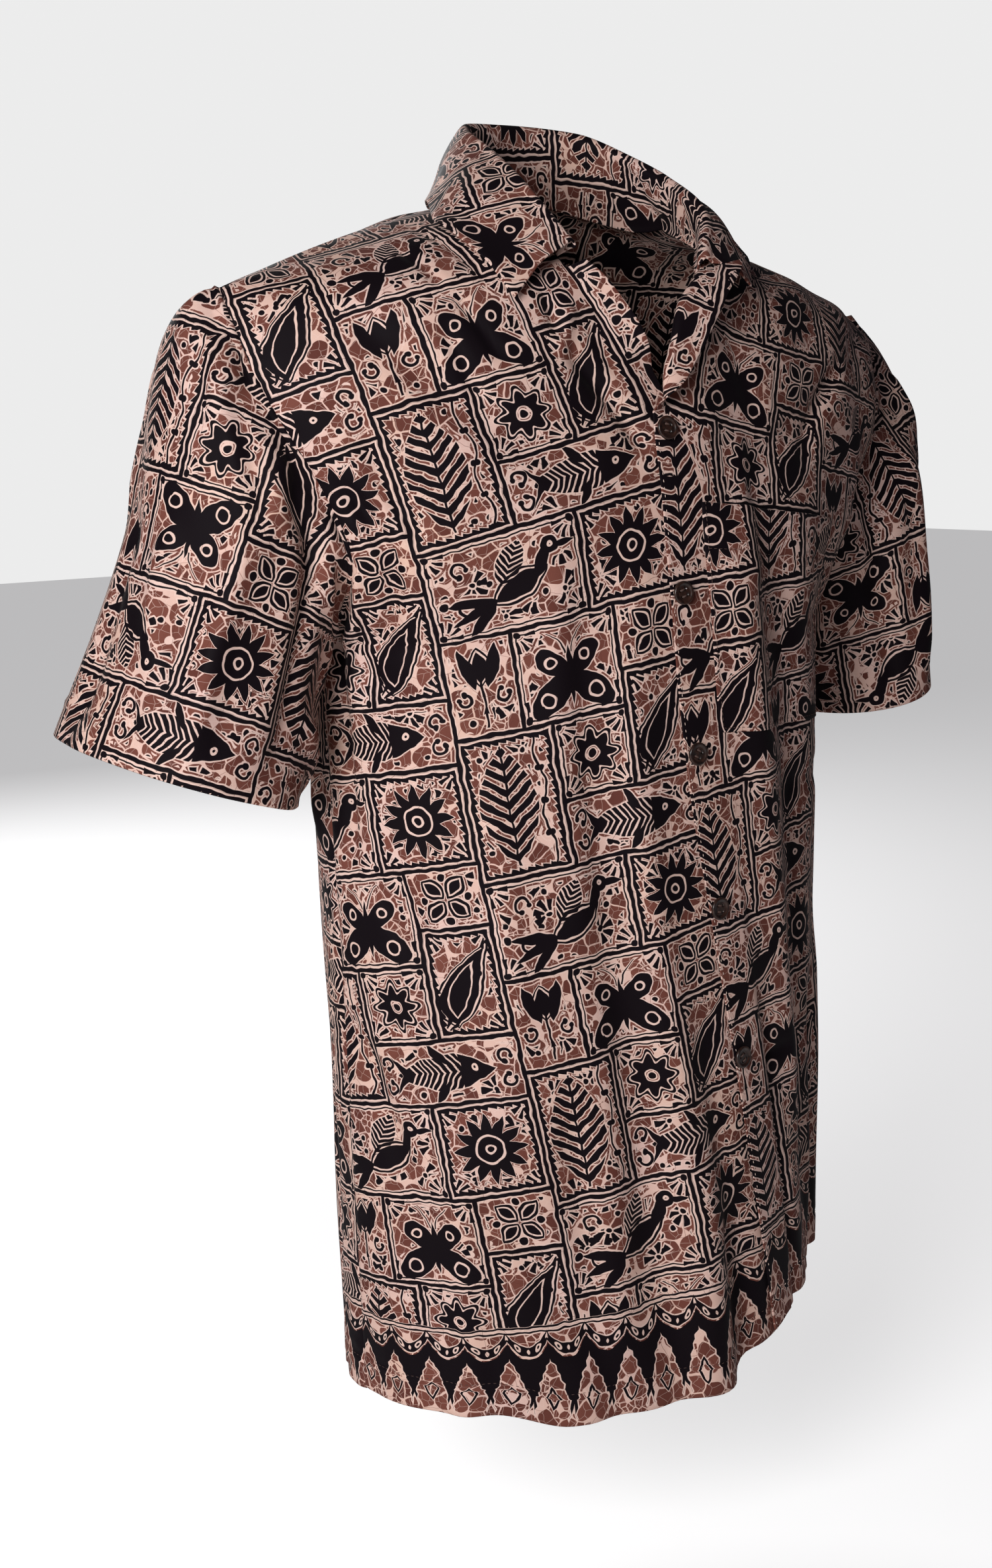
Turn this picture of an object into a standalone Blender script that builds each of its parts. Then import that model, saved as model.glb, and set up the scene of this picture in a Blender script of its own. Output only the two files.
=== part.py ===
"""Short-sleeved batik camp shirt, in the hollow form it keeps when it is worn.

Metres, +Z up.  The origin is the middle of the neck at the height where the shoulder seams
begin.  The front faces -Y and the wearer's left is +X.  Each cloth piece is a wall made
from a grid of outer points: on the panels u runs from the middle to the side and v from
the hem to the shoulder; sleeves run round the arm and the collar round the neck.
"""
import math

import bpy
import numpy as np

# ------------------------------------------------------------------ driving sizes
WALL = 0.0015                 # thickness of the cloth walls
SEAM_GAP = 0.0004             # between two pieces that are sewn together
SEAM_BEVEL = 0.0012           # how far a wall's inner face stops short of its outer one
LAP = 0.0021                  # how far the left front lies above the right one
RIGHT_EXTENSION = 0.018       # right front past the button line
LEFT_EXTENSION = 0.0095       # left front past the button line
ARMPIT = 0.66                 # v of the armpit on every body panel
NOTCH = 0.957                 # v where the collar starts on both fronts
ROLL_RADIUS = 0.0024          # inside a turned lapel
STRIP_COLUMNS = 7             # grid columns of the strip past the roll line
STRIP_SPREAD = 0.7            # they bunch at the roll line where the strip is wide
STRIP_WIDE = 0.020
LAPEL_TURN = math.radians(169)
RIGHT_TURN = math.radians(32)
STRIP_LOOSE = 0.45            # turn in radians from which a strip has left the panel
CROWN = 0.004                 # how far the shoulder rises above a straight seam
SHOULDER_IN = 0.074           # x of the shoulder seam's inner and outer ends
SHOULDER_OUT = 0.236
SHOULDER_Y = 0.005
SHOULDER_Z = -0.053           # height of the seam's outer end
SHOULDER_ARC = math.radians(45)
NECK_BACK = 0.950             # v of the back neckline at the middle
NECK_START = 0.80             # v above which the back's rows bend to the neckline
SLEEVE_OUT = 0.0012           # a sleeve keeps this far off the side at the armpit
SHOULDER_TILT = 0.006         # the wearer's left shoulder hangs lower than the right one
HEM_REACH = 0.40              # v up to which the waves of the hem are felt
COLLAR_CLEAR = 0.0042         # collar leaf above the panels it lies on
COLLAR_START = 0.0012         # stand above the neckline
COLLAR_REACH = 0.8            # u up to which the leaf may lie on a panel

FRONT_WIDTH = 0.24            # cloth widths and length that the folds are measured on
BACK_WIDTH = 0.26
BODY_LENGTH = 0.74
FOLD_STEPS = 25               # points tried along a fold's path
FOLD_ENDS = 0.22              # share of a fold's length in which it rises and dies
FOLD_FROM = (0.004, 0.036)    # from the middle line, where a front's folds set in
LAP_FADE = (0.022, 0.060)     # from the middle line, where the left front's lift ends
LAP_REACH = 0.294             # of cloth from the middle to the side, at the middle's slope

POCKET_COLUMNS = (1, 9)       # lines of the left front's grid that bound the pocket
POCKET_LINES = (12, 17)
POCKET_LIFT = 0.0004

BUTTON_RADIUS = 0.0068
BUTTON_THICKNESS = 0.0024
BUTTON_LIFT = 0.0006
BUTTON_SIDES = 20
# rings from its back to its face, as shares of the radius and the thickness
BUTTON_PROFILE = [(0.80, 0.0), (1.0, 0.35), (1.0, 0.62), (0.90, 0.95), (0.76, 1.0), (0.64, 0.72)]
BUTTON_V = (0.825, 0.690, 0.552, 0.414, 0.276)
BUTTON_ASIDE = 0.002          # towards the free edge from the middle line

CLOTH_COLOUR = (0.42, 0.26, 0.20, 1.0)
COLLAR_COLOUR = (0.46, 0.30, 0.23, 1.0)
BUTTON_COLOUR = (0.09, 0.035, 0.022, 1.0)
CLOTH_ROUGH = 0.75
BUTTON_ROUGH = 0.35
CREASE = math.radians(40)     # faces that meet more sharply than this are shaded apart

# lines of the body panels from hem to armpit, and from armpit to shoulder
BODY_LINES = np.linspace(0, ARMPIT, 15)
ARMHOLE_LINES = np.array([0.66, 0.695, 0.73, 0.765, 0.788, 0.806, 0.822, 0.838, 0.852, 0.866,
                          0.882, 0.902, 0.924, 0.944, NOTCH, 0.978, 1.0])
PANEL_LINES = np.concatenate([BODY_LINES, ARMHOLE_LINES[1:]])
NOTCH_ROW = len(PANEL_LINES) - 3


class Table:
    """Named columns of sizes, read between their rows along a smooth curve.

    The slopes are held back where a column turns, so nothing swings past its rows.
    """

    def __init__(self, columns, rows):
        names = columns.split()
        values = np.array(rows, float).T
        self.key = values[0]
        self.columns = dict(zip(names[1:], values[1:]))

    def at(self, name, key):
        x, y = self.key, self.columns[name]
        step = np.diff(x)
        rise = np.diff(y) / step
        slope = np.zeros(len(x))
        slope[0], slope[-1] = rise[0], rise[-1]
        same = rise[:-1] * rise[1:] > 0
        product = np.where(same, 2 * rise[:-1] * rise[1:], 0)
        total = np.where(same, rise[:-1] + rise[1:], 1)
        slope[1:-1] = product / total
        key = np.clip(key, x[0], x[-1])
        i = np.clip(np.searchsorted(x, key, side="right") - 1, 0, len(x) - 2)
        t = (key - x[i]) / step[i]
        ease = t * t * (3 - 2 * t)
        lead = t * (1 - t) * (1 - t) * step[i] * slope[i]
        trail = t * t * (1 - t) * step[i] * slope[i + 1]
        return y[i] * (1 - ease) + y[i + 1] * ease + lead - trail

    def point(self, key):
        return np.stack([self.at(name, key) for name in ("x", "y", "z")], -1)


# ------------------------------------------------------------------ the body's form
# Middle of the front, and each front's roll line above the V; drift moves both fronts.
FRONT_EDGE = Table("v left right y z drift turn", [
    (0.000, 0.000, 0.000, -0.122, -0.690, 0.064, 90),
    (0.080, 0.000, 0.000, -0.121, -0.634, 0.055, 90),
    (0.220, 0.000, 0.000, -0.119, -0.538, 0.038, 90),
    (0.380, 0.000, 0.000, -0.118, -0.430, 0.017, 90),
    (0.530, 0.000, 0.000, -0.119, -0.328, -0.002, 90),
    (0.660, 0.000, 0.000, -0.120, -0.240, -0.012, 88),
    (0.750, 0.000, 0.000, -0.116, -0.178, -0.015, 80),
    (0.820, 0.000, 0.003, -0.109, -0.130, -0.015, 72),
    (0.865, 0.002, 0.018, -0.103, -0.100, -0.014, 66),
    (0.900, 0.011, 0.032, -0.098, -0.077, -0.013, 62),
    (0.930, 0.021, 0.043, -0.091, -0.058, -0.012, 57),
    (NOTCH, 0.040, 0.053, -0.082, -0.041, -0.010, 54),
    (0.980, 0.061, 0.066, -0.048, -0.017, -0.003, 48),
    (1.000, SHOULDER_IN, SHOULDER_IN, SHOULDER_Y, 0.000, 0.000, 45),
])
BACK_MIDDLE = Table("v y z turn", [
    (0.000, 0.124, -0.697, 90),
    (0.150, 0.122, -0.605, 90),
    (0.380, 0.116, -0.450, 90),
    (0.530, 0.116, -0.345, 90),
    (0.660, 0.120, -0.250, 88),
    (0.780, 0.118, -0.165, 78),
    (0.880, 0.098, -0.078, 66),
    (0.950, 0.056, 0.015, 54),
    (1.000, SHOULDER_Y, 0.0115, 45),
])
SIDE_SEAM = Table("v right left y z", [
    (0.000, 0.169, 0.164, 0.006, -0.694),
    (0.150, 0.171, 0.165, 0.006, -0.600),
    (0.380, 0.174, 0.167, 0.006, -0.440),
    (0.530, 0.176, 0.172, 0.008, -0.338),
    (ARMPIT, 0.175, 0.175, 0.012, -0.245),
])
FRONT_ARMHOLE = Table("v x y z", [
    (ARMPIT, 0.175, 0.012, -0.245),
    (0.705, 0.177, -0.018, -0.222),
    (0.770, 0.187, -0.041, -0.187),
    (0.830, 0.205, -0.039, -0.152),
    (0.890, 0.226, -0.029, -0.114),
    (0.930, 0.234, -0.019, -0.090),
    (0.975, 0.237, -0.004, -0.064),
    (1.000, SHOULDER_OUT, SHOULDER_Y, SHOULDER_Z),
])
BACK_ARMHOLE = Table("v x y z", [
    (ARMPIT, 0.175, 0.012, -0.245),
    (0.710, 0.180, 0.050, -0.222),
    (0.780, 0.194, 0.074, -0.180),
    (0.860, 0.217, 0.074, -0.134),
    (0.940, 0.235, 0.050, -0.086),
    (0.978, 0.237, 0.026, -0.062),
    (1.000, SHOULDER_OUT, SHOULDER_Y, SHOULDER_Z),
])
# how far the hem stands above its panel's own curve, across the body
HEM = Table("x front_right front_left back", [
    (-0.174, -0.012, 0.000, -0.012),
    (-0.130, -0.009, 0.000, -0.016),
    (-0.090, -0.020, 0.000, -0.014),
    (-0.045, -0.020, 0.000, -0.010),
    (0.000, -0.019, -0.004, -0.006),
    (0.020, -0.017, -0.002, -0.002),
    (0.040, -0.004, 0.000, 0.002),
    (0.060, 0.001, 0.004, 0.005),
    (0.085, 0.010, 0.015, 0.010),
    (0.120, 0.018, 0.021, 0.018),
    (0.166, 0.024, 0.025, 0.025),
])
# width of the strip past the roll line as a share of each front's extension, and how
# much of its full turn it has made
STRIP = Table("v left_width left_turn right_width right_turn", [
    (0.000, 1.00, 0.00, 1.00, 0.00),
    (0.838, 1.00, 0.00, 1.00, 0.00),
    (0.852, 1.40, 0.55, 1.00, 0.00),
    (0.866, 2.00, 0.94, 1.00, 0.05),
    (0.882, 2.60, 1.00, 1.00, 0.50),
    (0.902, 3.10, 1.00, 1.00, 0.90),
    (0.922, 3.70, 1.00, 0.95, 1.00),
    (0.944, 4.00, 1.00, 0.85, 1.00),
    (NOTCH, 3.80, 1.00, 0.65, 1.00),
])
# rings round the arm: their top and underarm points, middle and depths either way; lift
# raises the underarm of the wearer's left sleeve
SLEEVE = Table("t right_x right_z left_x left_z under_x under_z y front back dip lift", [
    (0.00, 0.236, SHOULDER_Z, 0.236, SHOULDER_Z, 0.1750, -0.2450, 0.012, 0.054, 0.066, 0.000, 0.0),
    (0.15, 0.250, -0.059, 0.256, -0.068, 0.1800, -0.2495, 0.014, 0.056, 0.062, 0.000, 0.0),
    (0.35, 0.263, -0.102, 0.275, -0.100, 0.1850, -0.2580, 0.017, 0.061, 0.061, 0.001, 0.0),
    (0.60, 0.277, -0.168, 0.288, -0.172, 0.1885, -0.2780, 0.024, 0.067, 0.065, 0.003, 0.001),
    (0.80, 0.296, -0.228, 0.296, -0.234, 0.1910, -0.3020, 0.030, 0.073, 0.072, 0.005, 0.006),
    (1.00, 0.323, -0.292, 0.300, -0.295, 0.1960, -0.3340, 0.034, 0.077, 0.078, 0.007, 0.014),
])
# roll and leaf edge of the collar, from its right front end round the back to its left
COLLAR = Table("s roll_x roll_y roll_z edge_x edge_y edge_z", [
    (-1.00, -0.063, -0.086, -0.026, -0.104, -0.089, -0.056),
    (-0.86, -0.070, -0.050, 0.009, -0.116, -0.040, -0.022),
    (-0.70, -0.066, -0.014, 0.030, -0.102, -0.004, 0.000),
    (-0.50, -0.060, 0.018, 0.044, -0.077, 0.036, 0.006),
    (-0.25, -0.040, 0.045, 0.053, -0.049, 0.074, 0.008),
    (0.00, 0.000, 0.054, 0.055, 0.000, 0.088, 0.010),
    (0.25, 0.036, 0.042, 0.051, 0.048, 0.072, 0.007),
    (0.50, 0.058, 0.016, 0.036, 0.080, 0.032, 0.002),
    (0.70, 0.067, -0.014, 0.019, 0.098, -0.004, -0.007),
    (0.86, 0.061, -0.050, 0.000, 0.092, -0.048, -0.024),
    (1.00, 0.038, -0.081, -0.033, 0.067, -0.087, -0.047),
])
# A cross-section of the collar, from its seam over the roll to the leaf's edge: shares of
# the seam and the edge in each point, the rest being the roll, and what is added to it.
COLLAR_SHAPE = Table("line stand leaf out up", [
    (0.00, 1.0, 0.00, 0.0000, 0.0000),
    (0.90, 0.5, 0.00, -0.0020, 0.0000),
    (1.75, 0.0, 0.00, -0.0030, -0.0020),
    (2.00, 0.0, 0.00, 0.0000, 0.0012),
    (2.30, 0.0, 0.00, 0.0034, -0.0012),
    (3.30, 0.0, 0.38, 0.0035, 0.0024),
    (4.20, 0.0, 0.70, 0.0020, 0.0012),
    (5.00, 0.0, 1.00, 0.0000, 0.0000),
])
COLLAR_LINES = (0, 0.6, 1.2, 1.6, 1.85, 2.0, 2.15, 2.4, 2.9, 3.5, 4.2, 5.0)
COLLAR_FREE = 8               # from this line on, the leaf is kept clear of the panels

# Large folds: a path over the panel in (u, v), its half width and its height along the
# outward normal; a trough has a negative height.
FRONT_RIGHT_FOLDS = [
    (0.26, 0.80, 0.27, 0.45, 0.26, 0.00, 0.011, -0.0050),
    (0.16, 0.70, 0.16, 0.35, 0.17, 0.00, 0.011, 0.0045),
    (0.08, 0.36, 0.08, 0.18, 0.08, 0.00, 0.008, -0.0050),
    (0.80, 0.50, 0.66, 0.38, 0.58, 0.24, 0.012, -0.0045),
    (0.60, 0.92, 0.40, 0.82, 0.16, 0.80, 0.013, -0.0040),
]
FRONT_LEFT_FOLDS = [
    (0.16, 0.82, 0.20, 0.50, 0.26, 0.10, 0.012, 0.0045),
    (0.30, 0.78, 0.34, 0.45, 0.40, 0.00, 0.014, -0.0045),
    (0.60, 0.40, 0.62, 0.20, 0.60, 0.00, 0.013, 0.0040),
    (0.60, 0.92, 0.42, 0.84, 0.20, 0.80, 0.012, -0.0035),
]
BACK_FOLDS = [
    (-0.30, 0.74, -0.34, 0.40, -0.32, 0.00, 0.014, -0.0055),
    (0.26, 0.70, 0.31, 0.38, 0.34, 0.00, 0.013, -0.0050),
    (-0.05, 0.60, -0.02, 0.30, 0.03, 0.00, 0.016, 0.0045),
    (0.62, 0.62, 0.60, 0.34, 0.66, 0.00, 0.012, 0.0040),
    (-0.66, 0.56, -0.62, 0.30, -0.64, 0.00, 0.013, 0.0042),
]


def smooth(value, low, high):
    t = np.clip((value - low) / (high - low), 0, 1)
    return t * t * (3 - 2 * t)


def side_edge(hand, v, armhole):
    below = (v <= ARMPIT)[..., None]
    seam = [SIDE_SEAM.at(name, v) for name in ("left" if hand > 0 else "right", "y", "z")]
    return np.where(below, np.stack(seam, -1), armhole.point(v))


def crown(x, v):
    """The shoulder rises over its seam, on the front and on the back alike."""
    along = np.clip((np.abs(x) - SHOULDER_IN) / (SHOULDER_OUT - SHOULDER_IN), 0, 1)
    return CROWN * np.sin(math.pi * along) * smooth(v, 0.84, 1.0)


def hang(x, v, panel):
    """What the hem's waves and the lower left shoulder add to a height."""
    hem = HEM.at(panel, x) * (1 - smooth(v, 0, HEM_REACH))
    return hem - SHOULDER_TILT * np.clip(x / 0.10, -1, 1) * smooth(v, 0.72, 1.0)


def across(middle, side, u, turn, ease=0.0):
    """A row from the middle to the side: an arc of an ellipse, which bends by turn.

    Heights run straight across, but level off within ease of the middle.
    """
    out = (np.sin(u * turn) / np.sin(turn))[..., None]
    round_ = ((np.cos(u * turn) - np.cos(turn)) / (1 - np.cos(turn)))[..., None]
    straight = middle + (side - middle) * out
    bent = side + (middle - side) * round_
    height = straight[..., 2]
    if ease:
        out = out[..., 0]
        level = np.where(out < ease, (out ** 2 + ease ** 2) / (2 * ease), out)
        apex = (middle[..., 2] - side[..., 2] * ease / 2) / (1 - ease / 2)
        height = apex + (side[..., 2] - apex) * level
    return np.stack([straight[..., 0], bent[..., 1], height], -1)


def front_form(hand, u, v):
    """Outer face of a front with no folds; hand is 1 on the wearer's left.

    Both fronts share one curve round the body; drift moves the line where they meet.
    """
    turn = np.radians(FRONT_EDGE.at("turn", v))
    drift = FRONT_EDGE.at("drift", v)
    right = side_edge(-1, v, FRONT_ARMHOLE)
    left = side_edge(1, v, FRONT_ARMHOLE)
    reach = np.where(drift > 0, left[..., 0], right[..., 0])
    start = np.arcsin(drift * np.sin(turn) / reach) / turn
    place = start + hand * u * (1 - hand * start)
    side = np.where((place > 0)[..., None], left, right)
    middle = np.stack([0 * v, FRONT_EDGE.at("y", v), FRONT_EDGE.at("z", v)], -1)
    point = across(middle, side, np.abs(place), turn)
    roll = FRONT_EDGE.at("left" if hand > 0 else "right", v)
    x = np.sign(place) * point[..., 0] + hand * roll * (1 - np.sin(u * turn) / np.sin(turn))
    z = point[..., 2] + crown(np.abs(x), v)
    z += hang(x, v, "front_left" if hand > 0 else "front_right")
    return np.stack([x, point[..., 1], z], -1)


def neck_reach():
    """How far across the back, as u, its neckline runs."""
    return math.asin(SHOULDER_IN / SHOULDER_OUT * math.sin(SHOULDER_ARC)) / SHOULDER_ARC


def back_form(u, v):
    """Outer face of the back; its rows stop at the neckline between the shoulders."""
    dip = np.sqrt(np.clip(1 - (u / neck_reach()) ** 2, 0, 1)) * (1 - NECK_BACK)
    squeezed = NECK_START + (v - NECK_START) * (1 - dip / (1 - NECK_START))
    v = np.where(v > NECK_START, squeezed, v)
    turn = np.radians(BACK_MIDDLE.at("turn", v))
    middle = np.stack([0 * v, BACK_MIDDLE.at("y", v), BACK_MIDDLE.at("z", v)], -1)
    right = side_edge(-1, v, BACK_ARMHOLE)
    left = side_edge(1, v, BACK_ARMHOLE)
    side = np.where((u > 0)[..., None], left, right)
    point = across(middle, side, np.abs(u), turn, SHOULDER_IN / SHOULDER_OUT)
    x = np.sign(u) * point[..., 0]
    z = point[..., 2] + crown(point[..., 0], v) + hang(x, v, "back")
    return np.stack([x, point[..., 1], z], -1)


def normals(points, closed=False):
    """Outward normals of a grid, from the lines either way across it."""
    if closed:
        run = np.roll(points, -1, 0) - np.roll(points, 1, 0)
    else:
        run = np.gradient(points, axis=0)
    rise = np.gradient(points, axis=1)
    normal = np.cross(run, rise)
    return normal / np.linalg.norm(normal, axis=-1, keepdims=True)


def fold_height(u, v, folds, width, length):
    """Sum of the folds at (u, v), on a panel of that width and length."""
    total = np.zeros(np.broadcast(u, v).shape)
    for u0, v0, u1, v1, u2, v2, half, height in folds:
        nearest = np.full(total.shape, 9.0)
        share = np.zeros(total.shape)
        for t in np.linspace(0, 1, FOLD_STEPS):
            pu = u0 * (1 - t) ** 2 + u1 * 2 * t * (1 - t) + u2 * t * t
            pv = v0 * (1 - t) ** 2 + v1 * 2 * t * (1 - t) + v2 * t * t
            away = np.hypot((u - pu) * width, (v - pv) * length)
            closer = away < nearest
            nearest = np.where(closer, away, nearest)
            share = np.where(closer, t, share)
        ends = smooth(share, 0, FOLD_ENDS)
        if v2 > 0:
            ends = ends * (1 - smooth(share, 1 - FOLD_ENDS, 1))
        total += height * ends * np.exp(-(nearest / half) ** 2)
    return total


# ------------------------------------------------------------------ making the walls
def wall_normals(outer, closed, notch):
    """Normals of a grid that may lack its first columns above one of its rows."""
    out = normals(outer, closed)
    if notch:
        columns, row = notch
        out[:, :row + 1] = normals(outer[:, :row + 1])
        out[columns:, row + 1:] = normals(outer[columns:])[:, row + 1:]
    return out


def wall_object(name, outer, colour, seams=(), facing=1, closed=False, notch=None):
    """A closed solid: the outer grid, the same grid moved inwards, and its rims."""
    count, rows = outer.shape[:2]
    outer = pull_in(outer, seams, SEAM_GAP / 2)
    inner = outer - wall_normals(outer, closed, notch) * WALL * facing
    inner = pull_in(inner, seams, SEAM_BEVEL)
    shift = count * rows
    cells = []
    for i in range(count if closed else count - 1):
        k = (i + 1) % count
        for j in range(rows - 1):
            if notch and i < notch[0] and j >= notch[1]:
                continue
            cells.append((i * rows + j, k * rows + j, k * rows + j + 1, i * rows + j + 1))
    skin = [half for a, b, c, d in cells for half in ((a, b, c), (a, c, d))]
    edges = {(t[n], t[(n + 1) % 3]) for t in skin for n in range(3)}
    faces = skin + [(shift + c, shift + b, shift + a) for a, b, c in skin]
    for a, b in sorted(edges):
        if (b, a) not in edges:
            faces += [(b, a, shift + a), (b, shift + a, shift + b)]
    points = np.concatenate([outer.reshape(-1, 3), inner.reshape(-1, 3)])
    used = sorted({p for face in faces for p in face})
    place = {p: n for n, p in enumerate(used)}
    faces = [tuple(place[p] for p in face) for face in faces]
    return solid_object(name, points[used], faces, colour)


def solid_object(name, points, faces, colour, rough=CLOTH_ROUGH):
    """One named object with its own material, its faces turned to point outwards."""
    points = np.asarray(points)
    volume = sum(
        np.dot(points[f[0]], np.cross(points[f[k]], points[f[k + 1]]))
        for f in faces for k in range(1, len(f) - 1))
    if volume < 0:
        faces = [tuple(reversed(f)) for f in faces]
    mesh = bpy.data.meshes.new(name)
    mesh.from_pydata([tuple(p) for p in points], [], faces)
    mesh.shade_smooth()
    mesh.set_sharp_from_angle(angle=CREASE)
    material = bpy.data.materials.new(name + "_material")
    material.use_nodes = True
    shader = material.node_tree.nodes["Principled BSDF"]
    shader.inputs["Base Color"].default_value = colour
    shader.inputs["Roughness"].default_value = rough
    mesh.materials.append(material)
    obj = bpy.data.objects.new(name, mesh)
    bpy.context.collection.objects.link(obj)
    return obj


def pull_in(points, edges, gap):
    """Draws the named edges of a grid back along it."""
    points = points.copy()
    pairs = {"first": (0, 1, 0), "last": (-1, -2, 0), "low": (0, 1, 1), "high": (-1, -2, 1)}
    for edge in edges:
        at, inside, axis = pairs[edge]
        line, beside = np.take(points, at, axis), np.take(points, inside, axis)
        step = beside - line
        step *= gap / np.linalg.norm(step, axis=-1, keepdims=True)
        if axis == 0:
            points[at] = line + step
        else:
            points[:, at] = line + step
    return points


# ------------------------------------------------------------------ the pieces
def front_points(hand, columns=16, lines=PANEL_LINES):
    """Outer grid of a front: the strip past the roll line, then the panel to its side."""
    left = hand > 0
    side = "left" if left else "right"
    extension = LEFT_EXTENSION if left else RIGHT_EXTENSION
    turn_full = LAPEL_TURN if left else RIGHT_TURN
    folds = FRONT_LEFT_FOLDS if left else FRONT_RIGHT_FOLDS
    u, v = np.meshgrid(np.linspace(0, 1, columns + 1), lines, indexing="ij")
    panel = front_form(hand, u, v)
    out = normals(panel) * hand
    near_lap = 1 - smooth(u * FRONT_WIDTH, *LAP_FADE)
    lift = LAP * near_lap * (1 if left else 0)
    height = fold_height(u, v, folds, FRONT_WIDTH, BODY_LENGTH)
    height = height * smooth(u * FRONT_WIDTH, *FOLD_FROM) + lift
    panel = panel + out * height[..., None]

    width = extension * STRIP.at(side + "_width", lines)
    turn = turn_full * STRIP.at(side + "_turn", lines)
    roll = panel[0]
    into = panel[0] - panel[1]
    into /= np.linalg.norm(into, axis=-1, keepdims=True)
    outward = out[0] - into * np.sum(out[0] * into, -1, keepdims=True)
    outward /= np.linalg.norm(outward, axis=-1, keepdims=True)
    rows = []
    for k in range(STRIP_COLUMNS, 0, -1):
        s = width * (k / STRIP_COLUMNS) ** (1 + STRIP_SPREAD * np.minimum(width / STRIP_WIDE, 1))
        flat = front_form(hand, -s / LAP_REACH, lines) + out[0] * height[0][:, None]
        bend = np.minimum(s / ROLL_RADIUS, turn)
        past = np.maximum(s - turn * ROLL_RADIUS, 0)
        ahead = ROLL_RADIUS * np.sin(bend) + past * np.cos(bend)
        rise = ROLL_RADIUS * (1 - np.cos(bend)) + past * np.sin(bend)
        turned = roll + into * ahead[:, None] + outward * rise[:, None]
        share = smooth(turn, 0, STRIP_LOOSE)[:, None]
        rows.append(flat * (1 - share) + turned * share)
    return np.concatenate([np.array(rows), panel])


def back_points(neck=10, shoulder=9, lines=PANEL_LINES):
    """Outer grid of the back; its columns bunch at the ends of the neckline."""
    inner = neck_reach()
    middle = inner * np.sin(np.linspace(-math.pi / 2, math.pi / 2, neck + 1))
    outer = np.linspace(inner, 1, shoulder + 1)[1:]
    columns = np.concatenate([-outer[::-1], middle, outer])
    u, v = np.meshgrid(columns, lines, indexing="ij")
    form = back_form(u, v)
    out = -normals(form)
    return form + out * fold_height(u, v, BACK_FOLDS, BACK_WIDTH, BODY_LENGTH)[..., None]


def sleeve_points(hand, rings=11):
    """Outer grid of a sleeve: it starts on the armhole and settles into its own rings."""
    share = (ARMHOLE_LINES - ARMPIT) / (1 - ARMPIT)
    v = np.concatenate([ARMHOLE_LINES[::-1], ARMHOLE_LINES[1:-1]])
    theta = np.concatenate([(1 - share[::-1]) * math.pi, (1 + share[1:-1]) * math.pi])
    front = theta <= math.pi
    armhole = np.where(front[:, None], FRONT_ARMHOLE.point(v), BACK_ARMHOLE.point(v))
    armhole[:, 2] += hang(armhole[:, 0] * hand, v, "back")
    armhole[:, 0] += SLEEVE_OUT * (1 - (v - ARMPIT) / (1 - ARMPIT)) ** 4
    side = "left" if hand > 0 else "right"

    def ring(t):
        top = np.array([SLEEVE.at(side + "_x", t), SLEEVE.at("y", t), SLEEVE.at(side + "_z", t)])
        under_z = SLEEVE.at("under_z", t) + (SLEEVE.at("lift", t) if hand > 0 else 0)
        under = np.array([SLEEVE.at("under_x", t), SLEEVE.at("y", t), under_z])
        deep = np.where(front, SLEEVE.at("front", t), SLEEVE.at("back", t))
        aside = np.array([0, -1, 0]) * deep[:, None] - np.array([0, 0, SLEEVE.at("dip", t)])
        return ((top + under) / 2 + (top - under) / 2 * np.cos(theta)[:, None]
                + aside * np.sin(theta)[:, None])

    grid = []
    for t in np.linspace(0, 1, rings):
        fade = 1 - smooth(t, 0, 0.75)
        grid.append(ring(t) + (armhole - ring(0)) * fade)
    return np.array(grid).transpose(1, 0, 2) * np.array([hand, 1, 1])


def lift_clear(points, bodies, clear):
    """Moves the points that lie too close to the bodies out along their normals."""
    ground = np.concatenate([body.reshape(-1, 3) for body, _ in bodies])
    out = np.concatenate([facing.reshape(-1, 3) for _, facing in bodies])
    flat = points.reshape(-1, 3).copy()
    for _ in range(3):
        for i, point in enumerate(flat):
            near = np.argmin(np.sum((ground - point) ** 2, axis=1))
            height = np.dot(point - ground[near], out[near])
            if height < clear:
                flat[i] = point + out[near] * (clear - height)
    return flat.reshape(points.shape)


def resample(line, count):
    """Points evenly spaced along a line."""
    step = np.linalg.norm(np.diff(line, axis=0), axis=1)
    run = np.concatenate([[0], np.cumsum(step)])
    at = np.linspace(0, run[-1], count)
    return np.stack([np.interp(at, run, line[:, axis]) for axis in range(3)], -1)


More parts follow.
